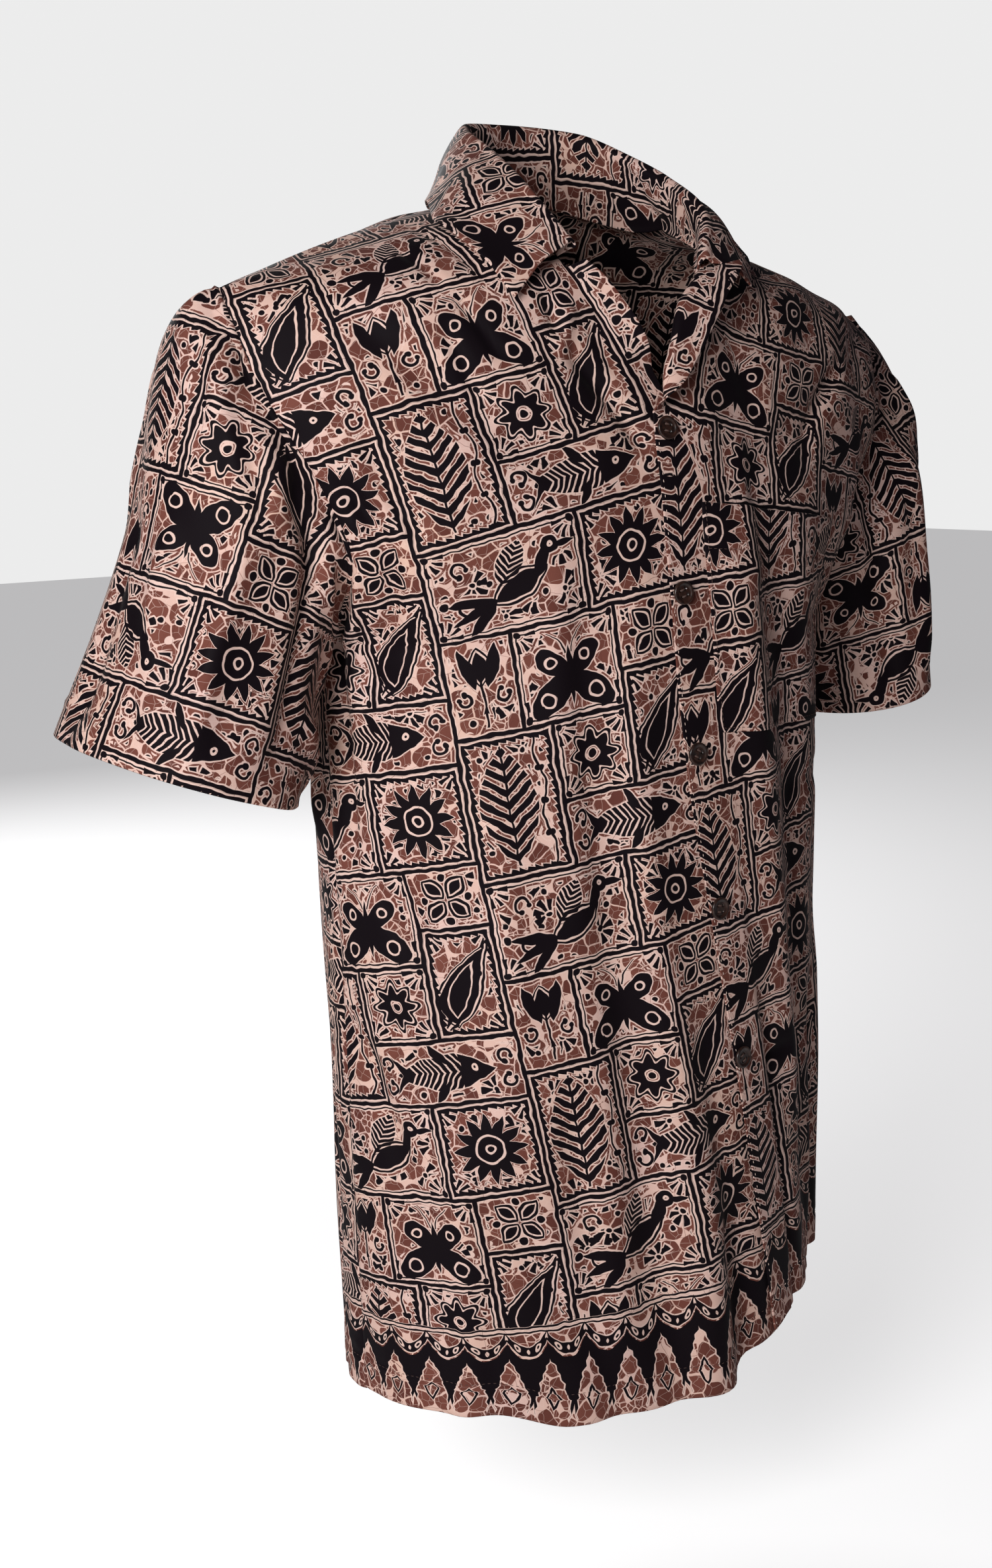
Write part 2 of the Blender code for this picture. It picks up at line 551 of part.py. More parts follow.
def collar_points(right, back, left, count=37):
    """Stand, roll and leaf, from the right front end round the back to the left one."""
    neck = back[np.abs(back[:, -1, 0]) < SHOULDER_IN, -1]
    right, left = right[STRIP_COLUMNS, NOTCH_ROW:], left[STRIP_COLUMNS, NOTCH_ROW:]
    seam = resample(np.concatenate([right, neck, left[::-1]]), count + 2)[1:-1]
    s = np.linspace(-1, 1, count)
    roll = np.stack([COLLAR.at("roll_" + axis, s) for axis in "xyz"], -1)
    edge = np.stack([COLLAR.at("edge_" + axis, s) for axis in "xyz"], -1)
    rise = roll - seam
    seam = seam + rise / np.linalg.norm(rise, axis=-1, keepdims=True) * COLLAR_START
    away = edge - roll
    away[:, 2] = 0
    away /= np.linalg.norm(away, axis=-1, keepdims=True)
    lines = []
    for row in COLLAR_LINES:
        stand, leaf, out, up = (COLLAR_SHAPE.at(name, row) for name in COLLAR_SHAPE.columns)
        line = seam * stand + edge * leaf + roll * (1 - stand - leaf) + away * out
        lines.append(line + np.array([0, 0, up]))
    grid = np.stack(lines, 1)
    reach = np.linspace(0, COLLAR_REACH, 50)
    upper = np.linspace(NECK_START, 1, 40)
    bodies = []
    for hand in (-1, 1):
        u, v = np.meshgrid(reach, upper, indexing="ij")
        form = front_form(hand, u, v)
        bodies.append((form, normals(form) * hand))
    u, v = np.meshgrid(np.concatenate([-reach[:0:-1], reach]), upper, indexing="ij")
    form = back_form(u, v)
    bodies.append((form, -normals(form)))
    grid[:, COLLAR_FREE:] = lift_clear(grid[:, COLLAR_FREE:], bodies, COLLAR_CLEAR)
    return grid


def make_pocket(panel):
    """The pocket lies on its front's own points, so the two never meet."""
    out = normals(panel)
    lifted = panel + out * (POCKET_LIFT + WALL)
    (first, last), (low, high) = POCKET_COLUMNS, POCKET_LINES
    return wall_object("pocket", lifted[first:last + 1, low:high + 1], CLOTH_COLOUR)


def make_button(name, middle, out):
    """A turned button: a flat back, a round rim and a dished face."""
    up = np.array([0, 0, 1.0])
    up -= out * up.dot(out)
    up /= np.linalg.norm(up)
    right = np.cross(up, out)
    points = []
    faces = []
    for radius, rise in BUTTON_PROFILE:
        for k in range(BUTTON_SIDES):
            a = 2 * math.pi * k / BUTTON_SIDES
            flat = (right * math.cos(a) + up * math.sin(a)) * radius * BUTTON_RADIUS
            points.append(middle + flat + out * rise * BUTTON_THICKNESS)
    last = (len(BUTTON_PROFILE) - 1) * BUTTON_SIDES
    for low in range(0, last, BUTTON_SIDES):
        high = low + BUTTON_SIDES
        for k in range(BUTTON_SIDES):
            n = (k + 1) % BUTTON_SIDES
            faces.append((low + k, low + n, high + n, high + k))
    faces.append(tuple(range(BUTTON_SIDES))[::-1])
    faces.append(tuple(range(last, last + BUTTON_SIDES)))
    return solid_object(name, points, faces, BUTTON_COLOUR, BUTTON_ROUGH)


def clear_scene():
    for obj in list(bpy.data.objects):
        bpy.data.objects.remove(obj, do_unlink=True)


def main():
    clear_scene()
    right, left, back = front_points(-1), front_points(1), back_points()
    notch = (STRIP_COLUMNS, NOTCH_ROW)
    wall_object("front_right", right, CLOTH_COLOUR, ("last", "high"), facing=-1, notch=notch)
    wall_object("front_left", left, CLOTH_COLOUR, ("last", "high"), notch=notch)
    wall_object("back", back, CLOTH_COLOUR, ("first", "last", "high"), facing=-1)
    for name, hand in (("sleeve_right", -1), ("sleeve_left", 1)):
        wall_object(name, sleeve_points(hand), CLOTH_COLOUR, ("low",), facing=-hand, closed=True)
    wall_object("collar", collar_points(right, back, left), COLLAR_COLOUR)
    panel = left[STRIP_COLUMNS:]
    make_pocket(panel)
    out = normals(panel)[0]
    aside = panel[0] - panel[1]
    for number, v in enumerate(BUTTON_V, 1):
        middle, facing, along = (
            np.array([np.interp(v, PANEL_LINES, rows[:, axis]) for axis in range(3)])
            for rows in (panel[0], out, aside))
        facing /= np.linalg.norm(facing)
        middle += facing * BUTTON_LIFT + along / np.linalg.norm(along) * BUTTON_ASIDE
        make_button(f"button_{number}", middle, facing)


main()
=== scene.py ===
# %% [markdown]
# # A hollow batik camp shirt
#
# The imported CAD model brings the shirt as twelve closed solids: two fronts, a back, two
# sleeves, a collar, a pocket and five buttons.  Their sizes are right, but their walls are
# plain and thick.  This lesson dresses them.  Every panel gets a thin cloth shell on the
# same form, with its creases, hems and seams.  Then come the printed cotton, the stitches
# and the turned buttons.  Everything is in metres, in the frame of the CAD model.

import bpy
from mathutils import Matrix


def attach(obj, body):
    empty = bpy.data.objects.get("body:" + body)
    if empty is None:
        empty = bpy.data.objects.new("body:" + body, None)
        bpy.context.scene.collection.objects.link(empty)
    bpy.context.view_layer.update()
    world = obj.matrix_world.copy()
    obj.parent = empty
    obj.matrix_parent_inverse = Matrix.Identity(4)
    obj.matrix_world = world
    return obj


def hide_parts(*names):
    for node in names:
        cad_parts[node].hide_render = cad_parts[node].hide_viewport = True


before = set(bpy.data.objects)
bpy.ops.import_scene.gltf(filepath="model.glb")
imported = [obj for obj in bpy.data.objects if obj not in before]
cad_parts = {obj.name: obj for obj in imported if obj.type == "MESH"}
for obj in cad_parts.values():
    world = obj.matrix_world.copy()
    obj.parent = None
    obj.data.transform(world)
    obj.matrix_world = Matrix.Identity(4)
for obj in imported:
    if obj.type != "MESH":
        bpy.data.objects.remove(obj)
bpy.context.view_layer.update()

import math

import bpy
import numpy as np
from mathutils import Matrix, Vector

print("pieces of the frame:", ", ".join(sorted(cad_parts)))

# %% [markdown]
# ## Sizes read from tables
#
# A garment has few straight lines, so each of its edges is a short table: a key, such as
# the height up a panel, and what the edge does there.  Bezier curves or a lattice would
# also hold such an edge, but a table can be read and changed by anybody.  The curve
# between two rows never swings past them, which keeps the cloth free of false bumps.

# %% Tables of named columns
class Table:
    """Named columns of sizes, read between their rows along a smooth curve.

    The slopes are held back where a column turns, so nothing swings past its rows.
    """

    def __init__(self, columns, rows):
        names = columns.split()
        values = np.array(rows, float).T
        self.key = values[0]
        self.columns = dict(zip(names[1:], values[1:]))

    def at(self, name, key):
        x, y = self.key, self.columns[name]
        step = np.diff(x)
        rise = np.diff(y) / step
        slope = np.zeros(len(x))
        slope[0], slope[-1] = rise[0], rise[-1]
        same = rise[:-1] * rise[1:] > 0
        product = np.where(same, 2 * rise[:-1] * rise[1:], 0)
        total = np.where(same, rise[:-1] + rise[1:], 1)
        slope[1:-1] = product / total
        key = np.clip(key, x[0], x[-1])
        i = np.clip(np.searchsorted(x, key, side="right") - 1, 0, len(x) - 2)
        t = (key - x[i]) / step[i]
        ease = t * t * (3 - 2 * t)
        lead = t * (1 - t) * (1 - t) * step[i] * slope[i]
        trail = t * t * (1 - t) * step[i] * slope[i + 1]
        return y[i] * (1 - ease) + y[i + 1] * ease + lead - trail

    def point(self, key):
        return np.stack([self.at(name, key) for name in ("x", "y", "z")], -1)


# %% [markdown]
# ## The cut of the shirt
#
# These are the driving sizes of the CAD model, because the shell has to lie on its solids.
# On a panel, u runs from the middle to the side seam and v from the hem to the shoulder.

# %% Driving sizes and edges
LAP = 0.0021                  # how far the left front lies above the right one
RIGHT_EXTENSION = 0.018       # right front past the button line
LEFT_EXTENSION = 0.0095       # left front past the button line
ARMPIT = 0.66                 # v of the armpit on every body panel
NOTCH = 0.957                 # v where the collar starts on both fronts
ROLL_RADIUS = 0.0024          # inside a turned lapel
STRIP_COLUMNS = 7             # grid columns of the strip past the roll line
STRIP_SPREAD = 0.7            # they bunch at the roll line where the strip is wide
STRIP_WIDE = 0.020
LAPEL_TURN = math.radians(169)
RIGHT_TURN = math.radians(32)
STRIP_LOOSE = 0.45            # turn in radians from which a strip has left the panel
CROWN = 0.004                 # how far the shoulder rises above a straight seam
SHOULDER_IN = 0.074           # x of the shoulder seam's inner and outer ends
SHOULDER_OUT = 0.236
SHOULDER_Y = 0.005
SHOULDER_Z = -0.053           # height of the seam's outer end
SHOULDER_ARC = math.radians(45)
NECK_BACK = 0.950             # v of the back neckline at the middle
NECK_START = 0.80             # v above which the back's rows bend to the neckline
SLEEVE_OUT = 0.0012           # a sleeve keeps this far off the side at the armpit
SHOULDER_TILT = 0.006         # the wearer's left shoulder hangs lower than the right one
HEM_REACH = 0.40              # v up to which the waves of the hem are felt
COLLAR_CLEAR = 0.0042         # collar leaf above the panels it lies on
COLLAR_START = 0.0012         # stand above the neckline
COLLAR_REACH = 0.8            # u up to which the leaf may lie on a panel

FRONT_WIDTH = 0.24            # cloth widths and length that the folds are measured on
BACK_WIDTH = 0.26
BODY_LENGTH = 0.74
FOLD_STEPS = 25               # points tried along a fold's path
FOLD_ENDS = 0.22              # share of a fold's length in which it rises and dies
FOLD_FROM = (0.004, 0.036)    # from the middle line, where a front's folds set in
LAP_FADE = (0.022, 0.060)     # from the middle line, where the left front's lift ends
LAP_REACH = 0.294             # of cloth from the middle to the side, at the middle's slope

COARSE_COLUMNS = 16           # of a front's coarse grid
POCKET_COLUMNS = (1, 9)       # lines of the left front's grid that bound the pocket
POCKET_LINES = (12, 17)

BUTTON_RADIUS = 0.0068
BUTTON_THICKNESS = 0.0024
BUTTON_LIFT = 0.0006
BUTTON_V = (0.825, 0.690, 0.552, 0.414, 0.276)
BUTTON_ASIDE = 0.002          # towards the free edge from the middle line

# lines of the body panels from hem to armpit, and from armpit to shoulder
BODY_LINES = np.linspace(0, ARMPIT, 15)
ARMHOLE_LINES = np.array([0.66, 0.695, 0.73, 0.765, 0.788, 0.806, 0.822, 0.838, 0.852, 0.866,
                          0.882, 0.902, 0.924, 0.944, NOTCH, 0.978, 1.0])
PANEL_LINES = np.concatenate([BODY_LINES, ARMHOLE_LINES[1:]])
NOTCH_ROW = len(PANEL_LINES) - 3

# Middle of the front, and each front's roll line above the V; drift moves both fronts.
FRONT_EDGE = Table("v left right y z drift turn", [
    (0.000, 0.000, 0.000, -0.122, -0.690, 0.064, 90),
    (0.080, 0.000, 0.000, -0.121, -0.634, 0.055, 90),
    (0.220, 0.000, 0.000, -0.119, -0.538, 0.038, 90),
    (0.380, 0.000, 0.000, -0.118, -0.430, 0.017, 90),
    (0.530, 0.000, 0.000, -0.119, -0.328, -0.002, 90),
    (0.660, 0.000, 0.000, -0.120, -0.240, -0.012, 88),
    (0.750, 0.000, 0.000, -0.116, -0.178, -0.015, 80),
    (0.820, 0.000, 0.003, -0.109, -0.130, -0.015, 72),
    (0.865, 0.002, 0.018, -0.103, -0.100, -0.014, 66),
    (0.900, 0.011, 0.032, -0.098, -0.077, -0.013, 62),
    (0.930, 0.021, 0.043, -0.091, -0.058, -0.012, 57),
    (NOTCH, 0.040, 0.053, -0.082, -0.041, -0.010, 54),
    (0.980, 0.061, 0.066, -0.048, -0.017, -0.003, 48),
    (1.000, SHOULDER_IN, SHOULDER_IN, SHOULDER_Y, 0.000, 0.000, 45),
])
BACK_MIDDLE = Table("v y z turn", [
    (0.000, 0.124, -0.697, 90),
    (0.150, 0.122, -0.605, 90),
    (0.380, 0.116, -0.450, 90),
    (0.530, 0.116, -0.345, 90),
    (0.660, 0.120, -0.250, 88),
    (0.780, 0.118, -0.165, 78),
    (0.880, 0.098, -0.078, 66),
    (0.950, 0.056, 0.015, 54),
    (1.000, SHOULDER_Y, 0.0115, 45),
])
SIDE_SEAM = Table("v right left y z", [
    (0.000, 0.169, 0.164, 0.006, -0.694),
    (0.150, 0.171, 0.165, 0.006, -0.600),
    (0.380, 0.174, 0.167, 0.006, -0.440),
    (0.530, 0.176, 0.172, 0.008, -0.338),
    (ARMPIT, 0.175, 0.175, 0.012, -0.245),
])
FRONT_ARMHOLE = Table("v x y z", [
    (ARMPIT, 0.175, 0.012, -0.245),
    (0.705, 0.177, -0.018, -0.222),
    (0.770, 0.187, -0.041, -0.187),
    (0.830, 0.205, -0.039, -0.152),
    (0.890, 0.226, -0.029, -0.114),
    (0.930, 0.234, -0.019, -0.090),
    (0.975, 0.237, -0.004, -0.064),
    (1.000, SHOULDER_OUT, SHOULDER_Y, SHOULDER_Z),
])
BACK_ARMHOLE = Table("v x y z", [
    (ARMPIT, 0.175, 0.012, -0.245),
    (0.710, 0.180, 0.050, -0.222),
    (0.780, 0.194, 0.074, -0.180),
    (0.860, 0.217, 0.074, -0.134),
    (0.940, 0.235, 0.050, -0.086),
    (0.978, 0.237, 0.026, -0.062),
    (1.000, SHOULDER_OUT, SHOULDER_Y, SHOULDER_Z),
])
# how far the hem stands above its panel's own curve, across the body
HEM = Table("x front_right front_left back", [
    (-0.174, -0.012, 0.000, -0.012),
    (-0.130, -0.009, 0.000, -0.016),
    (-0.090, -0.020, 0.000, -0.014),
    (-0.045, -0.020, 0.000, -0.010),
    (0.000, -0.019, -0.004, -0.006),
    (0.020, -0.017, -0.002, -0.002),
    (0.040, -0.004, 0.000, 0.002),
    (0.060, 0.001, 0.004, 0.005),
    (0.085, 0.010, 0.015, 0.010),
    (0.120, 0.018, 0.021, 0.018),
    (0.166, 0.024, 0.025, 0.025),
])
# width of the strip past the roll line as a share of each front's extension, and how
# much of its full turn it has made
STRIP = Table("v left_width left_turn right_width right_turn", [
    (0.000, 1.00, 0.00, 1.00, 0.00),
    (0.838, 1.00, 0.00, 1.00, 0.00),
    (0.852, 1.40, 0.55, 1.00, 0.00),
    (0.866, 2.00, 0.94, 1.00, 0.05),
    (0.882, 2.60, 1.00, 1.00, 0.50),
    (0.902, 3.10, 1.00, 1.00, 0.90),
    (0.922, 3.70, 1.00, 0.95, 1.00),
    (0.944, 4.00, 1.00, 0.85, 1.00),
    (NOTCH, 3.80, 1.00, 0.65, 1.00),
])
# rings round the arm: their top and underarm points, middle and depths either way; lift
# raises the underarm of the wearer's left sleeve
SLEEVE = Table("t right_x right_z left_x left_z under_x under_z y front back dip lift", [
    (0.00, 0.236, SHOULDER_Z, 0.236, SHOULDER_Z, 0.1750, -0.2450, 0.012, 0.054, 0.066, 0.000, 0.0),
    (0.15, 0.250, -0.059, 0.256, -0.068, 0.1800, -0.2495, 0.014, 0.056, 0.062, 0.000, 0.0),
    (0.35, 0.263, -0.102, 0.275, -0.100, 0.1850, -0.2580, 0.017, 0.061, 0.061, 0.001, 0.0),
    (0.60, 0.277, -0.168, 0.288, -0.172, 0.1885, -0.2780, 0.024, 0.067, 0.065, 0.003, 0.001),
    (0.80, 0.296, -0.228, 0.296, -0.234, 0.1910, -0.3020, 0.030, 0.073, 0.072, 0.005, 0.006),
    (1.00, 0.323, -0.292, 0.300, -0.295, 0.1960, -0.3340, 0.034, 0.077, 0.078, 0.007, 0.014),
])
# roll and leaf edge of the collar, from its right front end round the back to its left
COLLAR = Table("s roll_x roll_y roll_z edge_x edge_y edge_z", [
    (-1.00, -0.063, -0.086, -0.026, -0.104, -0.089, -0.056),
    (-0.86, -0.070, -0.050, 0.009, -0.116, -0.040, -0.022),
    (-0.70, -0.066, -0.014, 0.030, -0.102, -0.004, 0.000),
    (-0.50, -0.060, 0.018, 0.044, -0.077, 0.036, 0.006),
    (-0.25, -0.040, 0.045, 0.053, -0.049, 0.074, 0.008),
    (0.00, 0.000, 0.054, 0.055, 0.000, 0.088, 0.010),
    (0.25, 0.036, 0.042, 0.051, 0.048, 0.072, 0.007),
    (0.50, 0.058, 0.016, 0.036, 0.080, 0.032, 0.002),
    (0.70, 0.067, -0.014, 0.019, 0.098, -0.004, -0.007),
    (0.86, 0.061, -0.050, 0.000, 0.092, -0.048, -0.024),
    (1.00, 0.038, -0.081, -0.033, 0.067, -0.087, -0.047),
])
# A cross-section of the collar, from its seam over the roll to the leaf's edge: shares of
# the seam and the edge in each point, the rest being the roll, and what is added to it.
COLLAR_SHAPE = Table("line stand leaf out up", [
    (0.00, 1.0, 0.00, 0.0000, 0.0000),
    (0.90, 0.5, 0.00, -0.0020, 0.0000),
    (1.75, 0.0, 0.00, -0.0030, -0.0020),
    (2.00, 0.0, 0.00, 0.0000, 0.0012),
    (2.30, 0.0, 0.00, 0.0034, -0.0012),
    (3.30, 0.0, 0.38, 0.0035, 0.0024),
    (4.20, 0.0, 0.70, 0.0020, 0.0012),
    (5.00, 0.0, 1.00, 0.0000, 0.0000),
])
COLLAR_LINES = (0, 0.6, 1.2, 1.6, 1.85, 2.0, 2.15, 2.4, 2.9, 3.5, 4.2, 5.0)
COLLAR_FREE = 8               # from this line on, the leaf is kept clear of the panels

# Large folds: a path over the panel in (u, v), its half width and its height along the
# outward normal; a trough has a negative height.
FRONT_RIGHT_FOLDS = [
    (0.26, 0.80, 0.27, 0.45, 0.26, 0.00, 0.011, -0.0050),
    (0.16, 0.70, 0.16, 0.35, 0.17, 0.00, 0.011, 0.0045),
    (0.08, 0.36, 0.08, 0.18, 0.08, 0.00, 0.008, -0.0050),
    (0.80, 0.50, 0.66, 0.38, 0.58, 0.24, 0.012, -0.0045),
    (0.60, 0.92, 0.40, 0.82, 0.16, 0.80, 0.013, -0.0040),
]
FRONT_LEFT_FOLDS = [
    (0.16, 0.82, 0.20, 0.50, 0.26, 0.10, 0.012, 0.0045),
    (0.30, 0.78, 0.34, 0.45, 0.40, 0.00, 0.014, -0.0045),
    (0.60, 0.40, 0.62, 0.20, 0.60, 0.00, 0.013, 0.0040),
    (0.60, 0.92, 0.42, 0.84, 0.20, 0.80, 0.012, -0.0035),
]
BACK_FOLDS = [
    (-0.30, 0.74, -0.34, 0.40, -0.32, 0.00, 0.014, -0.0055),
    (0.26, 0.70, 0.31, 0.38, 0.34, 0.00, 0.013, -0.0050),
    (-0.05, 0.60, -0.02, 0.30, 0.03, 0.00, 0.016, 0.0045),
    (0.62, 0.62, 0.60, 0.34, 0.66, 0.00, 0.012, 0.0040),
    (-0.66, 0.56, -0.62, 0.30, -0.64, 0.00, 0.013, 0.0042),
]


# %% [markdown]
# ## The form of the panels
#
# A worn shirt is a tube round a rounded trunk.  Each row of a panel is therefore an arc of
# an ellipse from the middle to the side, and the tables say where it starts and ends.  The
# folds are added on top: each is a curved path over the panel with a width and a height.

# %% Form functions
def smooth(value, low, high):
    t = np.clip((value - low) / (high - low), 0, 1)
    return t * t * (3 - 2 * t)


def side_edge(hand, v, armhole):
    below = (v <= ARMPIT)[..., None]
    seam = [SIDE_SEAM.at(name, v) for name in ("left" if hand > 0 else "right", "y", "z")]
    return np.where(below, np.stack(seam, -1), armhole.point(v))


def crown(x, v):
    """The shoulder rises over its seam, on the front and on the back alike."""
    along = np.clip((np.abs(x) - SHOULDER_IN) / (SHOULDER_OUT - SHOULDER_IN), 0, 1)
    return CROWN * np.sin(math.pi * along) * smooth(v, 0.84, 1.0)


def hang(x, v, panel):
    """What the hem's waves and the lower left shoulder add to a height."""
    hem = HEM.at(panel, x) * (1 - smooth(v, 0, HEM_REACH))
    return hem - SHOULDER_TILT * np.clip(x / 0.10, -1, 1) * smooth(v, 0.72, 1.0)


def across(middle, side, u, turn, ease=0.0):
    """A row from the middle to the side: an arc of an ellipse, which bends by turn.

    Heights run straight across, but level off within ease of the middle.
    """
    out = (np.sin(u * turn) / np.sin(turn))[..., None]
    round_ = ((np.cos(u * turn) - np.cos(turn)) / (1 - np.cos(turn)))[..., None]
    straight = middle + (side - middle) * out
    bent = side + (middle - side) * round_
    height = straight[..., 2]
    if ease:
        out = out[..., 0]
        level = np.where(out < ease, (out ** 2 + ease ** 2) / (2 * ease), out)
        apex = (middle[..., 2] - side[..., 2] * ease / 2) / (1 - ease / 2)
        height = apex + (side[..., 2] - apex) * level
    return np.stack([straight[..., 0], bent[..., 1], height], -1)


def front_form(hand, u, v):
    """Outer face of a front with no folds; hand is 1 on the wearer's left.

    Both fronts share one curve round the body; drift moves the line where they meet.
    """
    turn = np.radians(FRONT_EDGE.at("turn", v))
    drift = FRONT_EDGE.at("drift", v)
    right = side_edge(-1, v, FRONT_ARMHOLE)
    left = side_edge(1, v, FRONT_ARMHOLE)
    reach = np.where(drift > 0, left[..., 0], right[..., 0])
    start = np.arcsin(drift * np.sin(turn) / reach) / turn
    place = start + hand * u * (1 - hand * start)
    side = np.where((place > 0)[..., None], left, right)
    middle = np.stack([0 * v, FRONT_EDGE.at("y", v), FRONT_EDGE.at("z", v)], -1)
    point = across(middle, side, np.abs(place), turn)
    roll = FRONT_EDGE.at("left" if hand > 0 else "right", v)
    x = np.sign(place) * point[..., 0] + hand * roll * (1 - np.sin(u * turn) / np.sin(turn))
    z = point[..., 2] + crown(np.abs(x), v)
    z += hang(x, v, "front_left" if hand > 0 else "front_right")
    return np.stack([x, point[..., 1], z], -1)


def neck_reach():
    """How far across the back, as u, its neckline runs."""
    return math.asin(SHOULDER_IN / SHOULDER_OUT * math.sin(SHOULDER_ARC)) / SHOULDER_ARC


def back_form(u, v):
    """Outer face of the back; its rows stop at the neckline between the shoulders."""
    dip = np.sqrt(np.clip(1 - (u / neck_reach()) ** 2, 0, 1)) * (1 - NECK_BACK)
    squeezed = NECK_START + (v - NECK_START) * (1 - dip / (1 - NECK_START))
    v = np.where(v > NECK_START, squeezed, v)
    turn = np.radians(BACK_MIDDLE.at("turn", v))
    middle = np.stack([0 * v, BACK_MIDDLE.at("y", v), BACK_MIDDLE.at("z", v)], -1)
    right = side_edge(-1, v, BACK_ARMHOLE)
    left = side_edge(1, v, BACK_ARMHOLE)
    side = np.where((u > 0)[..., None], left, right)
    point = across(middle, side, np.abs(u), turn, SHOULDER_IN / SHOULDER_OUT)
    x = np.sign(u) * point[..., 0]
    z = point[..., 2] + crown(point[..., 0], v) + hang(x, v, "back")
    return np.stack([x, point[..., 1], z], -1)


def unit(vectors):
    return vectors / np.linalg.norm(vectors, axis=-1, keepdims=True)


def normals(points):
    """Outward normals of a grid, from the lines either way across it."""
    return unit(np.cross(np.gradient(points, axis=0), np.gradient(points, axis=1)))


def fold_height(u, v, folds, width, length):
    """Sum of the folds at (u, v), on a panel of that width and length."""
    total = np.zeros(np.broadcast(u, v).shape)
    t = np.linspace(0, 1, FOLD_STEPS)
    for u0, v0, u1, v1, u2, v2, half, height in folds:
        path_x = (u0 * (1 - t) ** 2 + u1 * 2 * t * (1 - t) + u2 * t * t) * width
        path_y = (v0 * (1 - t) ** 2 + v1 * 2 * t * (1 - t) + v2 * t * t) * length
        nearest = np.full(total.shape, 9.0)
        share = np.zeros(total.shape)
        for k, (step_x, step_y) in enumerate(zip(np.diff(path_x), np.diff(path_y))):
            # how far along this piece of the path its nearest point is, and how far away
            x, y = u * width - path_x[k], v * length - path_y[k]
            along = np.clip((x * step_x + y * step_y) / (step_x ** 2 + step_y ** 2), 0, 1)
            away = np.hypot(x - along * step_x, y - along * step_y)
            closer = away < nearest
            nearest = np.where(closer, away, nearest)
            share = np.where(closer, (k + along) / (FOLD_STEPS - 1), share)
        ends = smooth(share, 0, FOLD_ENDS)
        if v2 > 0:
            ends = ends * (1 - smooth(share, 1 - FOLD_ENDS, 1))
        total += height * ends * np.exp(-(nearest / half) ** 2)
    return total


# %% Grids of points for every panel
def front_points(hand, columns=COARSE_COLUMNS, lines=PANEL_LINES, strip=STRIP_COLUMNS):
    """Outer grid of a front: the strip past the roll line, then the panel to its side."""
    left = hand > 0
    side = "left" if left else "right"
    extension = LEFT_EXTENSION if left else RIGHT_EXTENSION
    turn_full = LAPEL_TURN if left else RIGHT_TURN
    folds = FRONT_LEFT_FOLDS if left else FRONT_RIGHT_FOLDS
    u, v = np.meshgrid(np.linspace(0, 1, columns + 1), lines, indexing="ij")
    panel = front_form(hand, u, v)
    out = normals(panel) * hand
    near_lap = 1 - smooth(u * FRONT_WIDTH, *LAP_FADE)
    lift = LAP * near_lap * (1 if left else 0)
    height = fold_height(u, v, folds, FRONT_WIDTH, BODY_LENGTH)
    height = height * smooth(u * FRONT_WIDTH, *FOLD_FROM) + lift
    panel = panel + out * height[..., None]

    width = extension * STRIP.at(side + "_width", lines)
    turn = turn_full * STRIP.at(side + "_turn", lines)
    roll = panel[0]
    into = unit(panel[0] - panel[1])
    outward = unit(out[0] - into * np.sum(out[0] * into, -1, keepdims=True))
    rows = []
    for k in range(strip, 0, -1):
        s = width * (k / strip) ** (1 + STRIP_SPREAD * np.minimum(width / STRIP_WIDE, 1))
        flat = front_form(hand, -s / LAP_REACH, lines) + out[0] * height[0][:, None]
        bend = np.minimum(s / ROLL_RADIUS, turn)
        past = np.maximum(s - turn * ROLL_RADIUS, 0)
        ahead = ROLL_RADIUS * np.sin(bend) + past * np.cos(bend)
        rise = ROLL_RADIUS * (1 - np.cos(bend)) + past * np.sin(bend)
        turned = roll + into * ahead[:, None] + outward * rise[:, None]
        share = smooth(turn, 0, STRIP_LOOSE)[:, None]
        rows.append(flat * (1 - share) + turned * share)
    return np.concatenate([np.array(rows), panel])


def back_columns(neck, shoulder):
    """Columns of the back, which bunch at the ends of the neckline."""
    inner = neck_reach()
    middle = inner * np.sin(np.linspace(-math.pi / 2, math.pi / 2, neck + 1))
    outer = np.linspace(inner, 1, shoulder + 1)[1:]
    return np.concatenate([-outer[::-1], middle, outer])


def back_points(neck=10, shoulder=9, lines=PANEL_LINES):
    """Outer grid of the back."""
    u, v = np.meshgrid(back_columns(neck, shoulder), lines, indexing="ij")
    form = back_form(u, v)
    out = -normals(form)
    return form + out * fold_height(u, v, BACK_FOLDS, BACK_WIDTH, BODY_LENGTH)[..., None]


